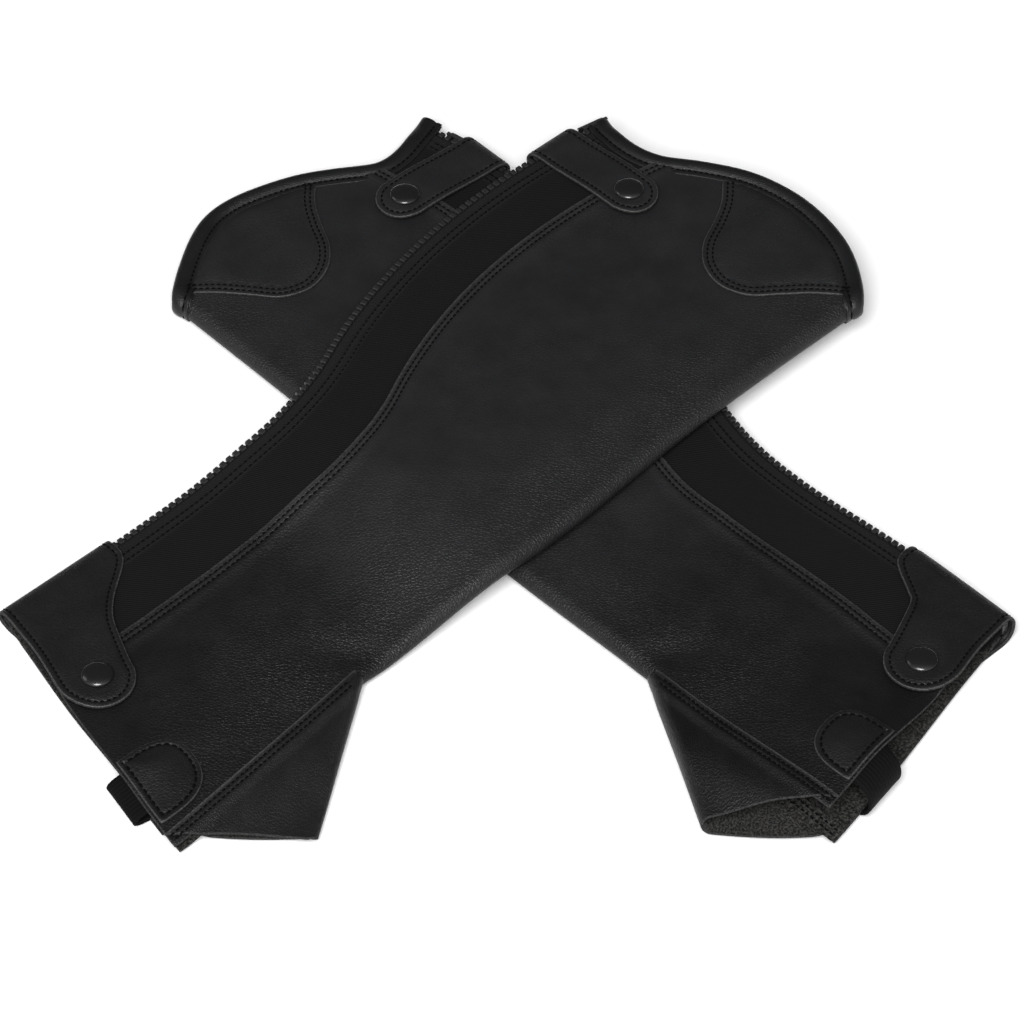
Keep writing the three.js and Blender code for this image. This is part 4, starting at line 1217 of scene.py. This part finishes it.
# ---------------- snap fasteners
FLAP_TOP = SNAP_LIFT + STRIP
CAP = [(1.6, 0.15), (6.3, 0.15), (6.9, 0.3), (7.2, 0.75), (7.1, 1.15), (6.6, 1.6), (5.6, 2.05), (4.2, 2.45),
       (2.6, 2.7), (1.2, 2.8), (0, 2.82)]         # the cap's profile above the flap
SNAPS = {
    "cap": [(0, SNAP_LIFT), (1.6, SNAP_LIFT)] + [(radius, FLAP_TOP + height) for radius, height in CAP],
    "socket": [(3.2, 1.2), (3.6, 1.05), (4.9, 1.05), (5.2, 1.3), (5.2, SNAP_LIFT - GAP), (3.2, SNAP_LIFT - GAP),
               (3.0, 2.0), (3.2, 1.2)],
    "stud": [(0, 0.7), (1.9, 0.7), (1.9, GAP), (4.8, GAP), (5.0, 0.5), (4.6, 0.85), (2.6, 0.95), (2.45, 1.2),
             (2.85, 1.7), (2.7, 2.1), (2.1, 2.4), (1.2, 2.5), (0, 2.5)],
    "post": [(0, -2.2), (4.9, -2.2), (5.3, -2.0), (5.4, -1.8), (1.6, -1.7), (1.6, 0.4), (0, 0.4)],
}


def turned(name, side, place, profile, look, body, node):
    """A lathed snap piece, with its profile's height 0 on the leather's face at place."""
    segments = 48
    closed = profile[0] == profile[-1]
    if closed:
        profile = profile[:-1]
    rings, faces, points = [], [], []
    for radius, height in profile:
        if radius < 1e-6:
            rings.append([len(points)])
            points.append((0, 0, height))
        else:
            rings.append(list(range(len(points), len(points) + segments)))
            turn = np.arange(segments) * 2 * math.pi / segments
            points += [(radius * math.cos(a), radius * math.sin(a), height) for a in turn]
    pairs = list(zip(rings[:-1], rings[1:])) + ([(rings[-1], rings[0])] if closed else [])
    for a, b in pairs:
        for k in range(segments):
            n = (k + 1) % segments
            corners = [a[k % len(a)], a[n % len(a)], b[n % len(b)], b[k % len(b)]]
            corners = [c for i, c in enumerate(corners) if c not in corners[:i]]
            if len(corners) > 2:
                faces.append(tuple(corners))
    mesh = bpy.data.meshes.new(name)
    placed = np.array(points) * MM + side.place(side.front(*place))[0]
    a, b, c = (placed[[f[k] for f in faces]] for k in range(3))
    if np.einsum("ij,ij->i", a - placed.mean(0), np.cross(b - a, c - a)).sum() < 0:
        faces = [tuple(reversed(f)) for f in faces]
    mesh.from_pydata(placed.tolist(), [], faces)
    mesh.materials.append(look)
    mesh.polygons.foreach_set("use_smooth", np.full(len(faces), True))
    piece = bpy.data.objects.new(name, mesh)
    bpy.context.scene.collection.objects.link(piece)
    crease = piece.modifiers.new("edges", "EDGE_SPLIT")
    crease.split_angle = math.radians(50)
    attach(piece, body)
    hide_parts(f"{side.name}_{node}")


def snaps(side):
    strap_snap = (side.strap_u, float(zip_v(side.strap_u)) - STRAP_SNAP)
    for flap, (u, v) in (("strap", strap_snap), ("cuff", side.cuff_snap)):
        place = np.array([u]), np.array([v])
        for part, profile in SNAPS.items():
            body = f"{side.name}_{flap}" if part in ("cap", "socket") else side.body
            look = LOOKS["enamel"] if part == "cap" else LOOKS["steel"]
            turned(f"{side.name}_{flap}_{part}_turned", side, place, profile, look, body,
                   f"{flap}_snap_{part}")


# ---------------- sewing on the body
def body_stitches(side):
    rows = np.linspace(0.004, 0.996, 240)
    runs = []
    for row in SEAM_ROWS:
        u, v = on_line(side, rows, lambda at, row=row: seam_v(at) - GAP / 2 - row)
        runs.append((np.stack([u, v], axis=1), raised(side, SEAM_RISE - THREAD_SINK)))
    for row in TAPE_ROWS:
        for surface in (panel_surface(side), side.back):
            runs.append(zip_line(side, -row, lambda u, v, off, surface=surface: surface(u, v, off - 0.28)))
    stitches("body_stitches", side, runs, side.body)

    border, _ = knee_patch_lines(side)
    inward = np.sign(beside(border, 1.0)[:, 0].mean() - border[:, 0].mean())
    patch = [(beside(border, inward * d), raised(side, PATCH_LIFT + PATCH - 0.4)) for d in LEATHER_ROWS]
    stitches("patch_stitches", side, patch + foot_flap_runs(side), side.body)
    stitches("binding_stitches", side, binding_stitch_runs(side), side.body)

    loop = even(looped(band_patch_outline(side)), 1.5)
    row = inner_row(loop, BAND_PATCH_ROWS[0], 2.4)
    run = (row, raised(side, PATCH_LIFT + PATCH - 0.5))
    stitches("band_patch_stitches", side, [run], side.body, 3.6, 2.9, 0.52)


# ---------------- assembly
def chap(side):
    for part in (leather_body, twill_panel, rolled_binding, knee_patch, foot_flap, seam_allowance):
        part(side)
    for where in ("front", "back"):
        band_patch(side, where)
    elastic_band(side)
    for where, up in (("front", 1.0), ("back", -1.0)):
        zip_tape(side, where, up)
        zip_teeth(side, where, up)
    settled(side, "zip_box", 0.0, True)
    for node in ("zip_stop_front", "zip_stop_back"):
        settled(side, node, side.stop_slide, False)
    for node in ("zip_slider", "zip_pull"):
        softened(f"{side.name}_{node}")
    for part in (strap, cuff, snaps, body_stitches):
        part(side)


for each in SIDES:
    chap(each)


# ---------------- studio
def studio():
    scene = bpy.context.scene
    scene.view_settings.view_transform = "Standard"
    azimuth, elevation, distance = math.radians(46.73), math.radians(47), 2.2
    target = Vector((-SIDES[0].shift, SIDES[0].shift, 0)) * MM
    flat = math.cos(elevation)
    back = Vector((math.sin(azimuth) * flat, -math.cos(azimuth) * flat, math.sin(elevation)))
    camera = bpy.data.objects.new("camera", bpy.data.cameras.new("camera"))
    camera.data.lens = 170.2
    camera.data.sensor_width = 36
    camera.data.clip_end = 100
    camera.location = target + back * distance
    camera.rotation_mode = "QUATERNION"
    camera.rotation_quaternion = (-back).to_track_quat("-Z", "Y")
    scene.collection.objects.link(camera)
    scene.camera = camera

    look = Look("floor", Roughness=0.9, Specular_IOR_Level=0.1)
    cloudy = look.noise(look.add("ShaderNodeTexCoord", (), "Object"), 3.0)
    mesh = bpy.data.meshes.new("floor")
    reach, sides = 30.0, 64
    turns = [k * 2 * math.pi / sides for k in range(sides)]
    ring = [(reach * math.cos(a), reach * math.sin(a), -0.0002) for a in turns]
    mesh.from_pydata(ring, [], [tuple(range(sides))])
    mesh.materials.append(look.finished(Base_Color=look.mixed(cloudy, (0.90, 0.90, 0.90), (0.92, 0.92, 0.92))))
    floor = bpy.data.objects.new("floor", mesh)
    scene.collection.objects.link(floor)

    world = bpy.data.worlds.new("studio")
    world.use_nodes = True
    sky = world.node_tree
    direction = add(sky, "ShaderNodeTexCoord").outputs["Generated"]
    toward = add(sky, "ShaderNodeVectorMath", {0: direction, 1: (0.6 * back.x, 0.6 * back.y, 0.1)},
                 operation="DOT_PRODUCT").outputs["Value"]
    glow = add(sky, "ShaderNodeMapRange", {0: toward, 1: 0.0, 2: 0.4, 3: 0.07, 4: 1.0}).outputs[0]
    tint = add(sky, "ShaderNodeCombineColor", {0: glow, 1: glow, 2: glow}).outputs[0]
    sky.links.new(tint, sky.nodes["Background"].inputs["Color"])
    scene.world = world

    lights = ("key", (1.1, -1.3, 2.15), 1.5, 100.0), ("side", (-1.9, -1.2, 1.7), 1.2, 6.0)
    for name, place, size, power in lights:
        light = bpy.data.lights.new(name, "AREA")
        light.shape = "DISK"
        light.size = size
        light.energy = power
        lamp = bpy.data.objects.new(name, light)
        lamp.location = place
        lamp.rotation_mode = "QUATERNION"
        lamp.rotation_quaternion = Vector(place).to_track_quat("Z", "Y")
        scene.collection.objects.link(lamp)


studio()
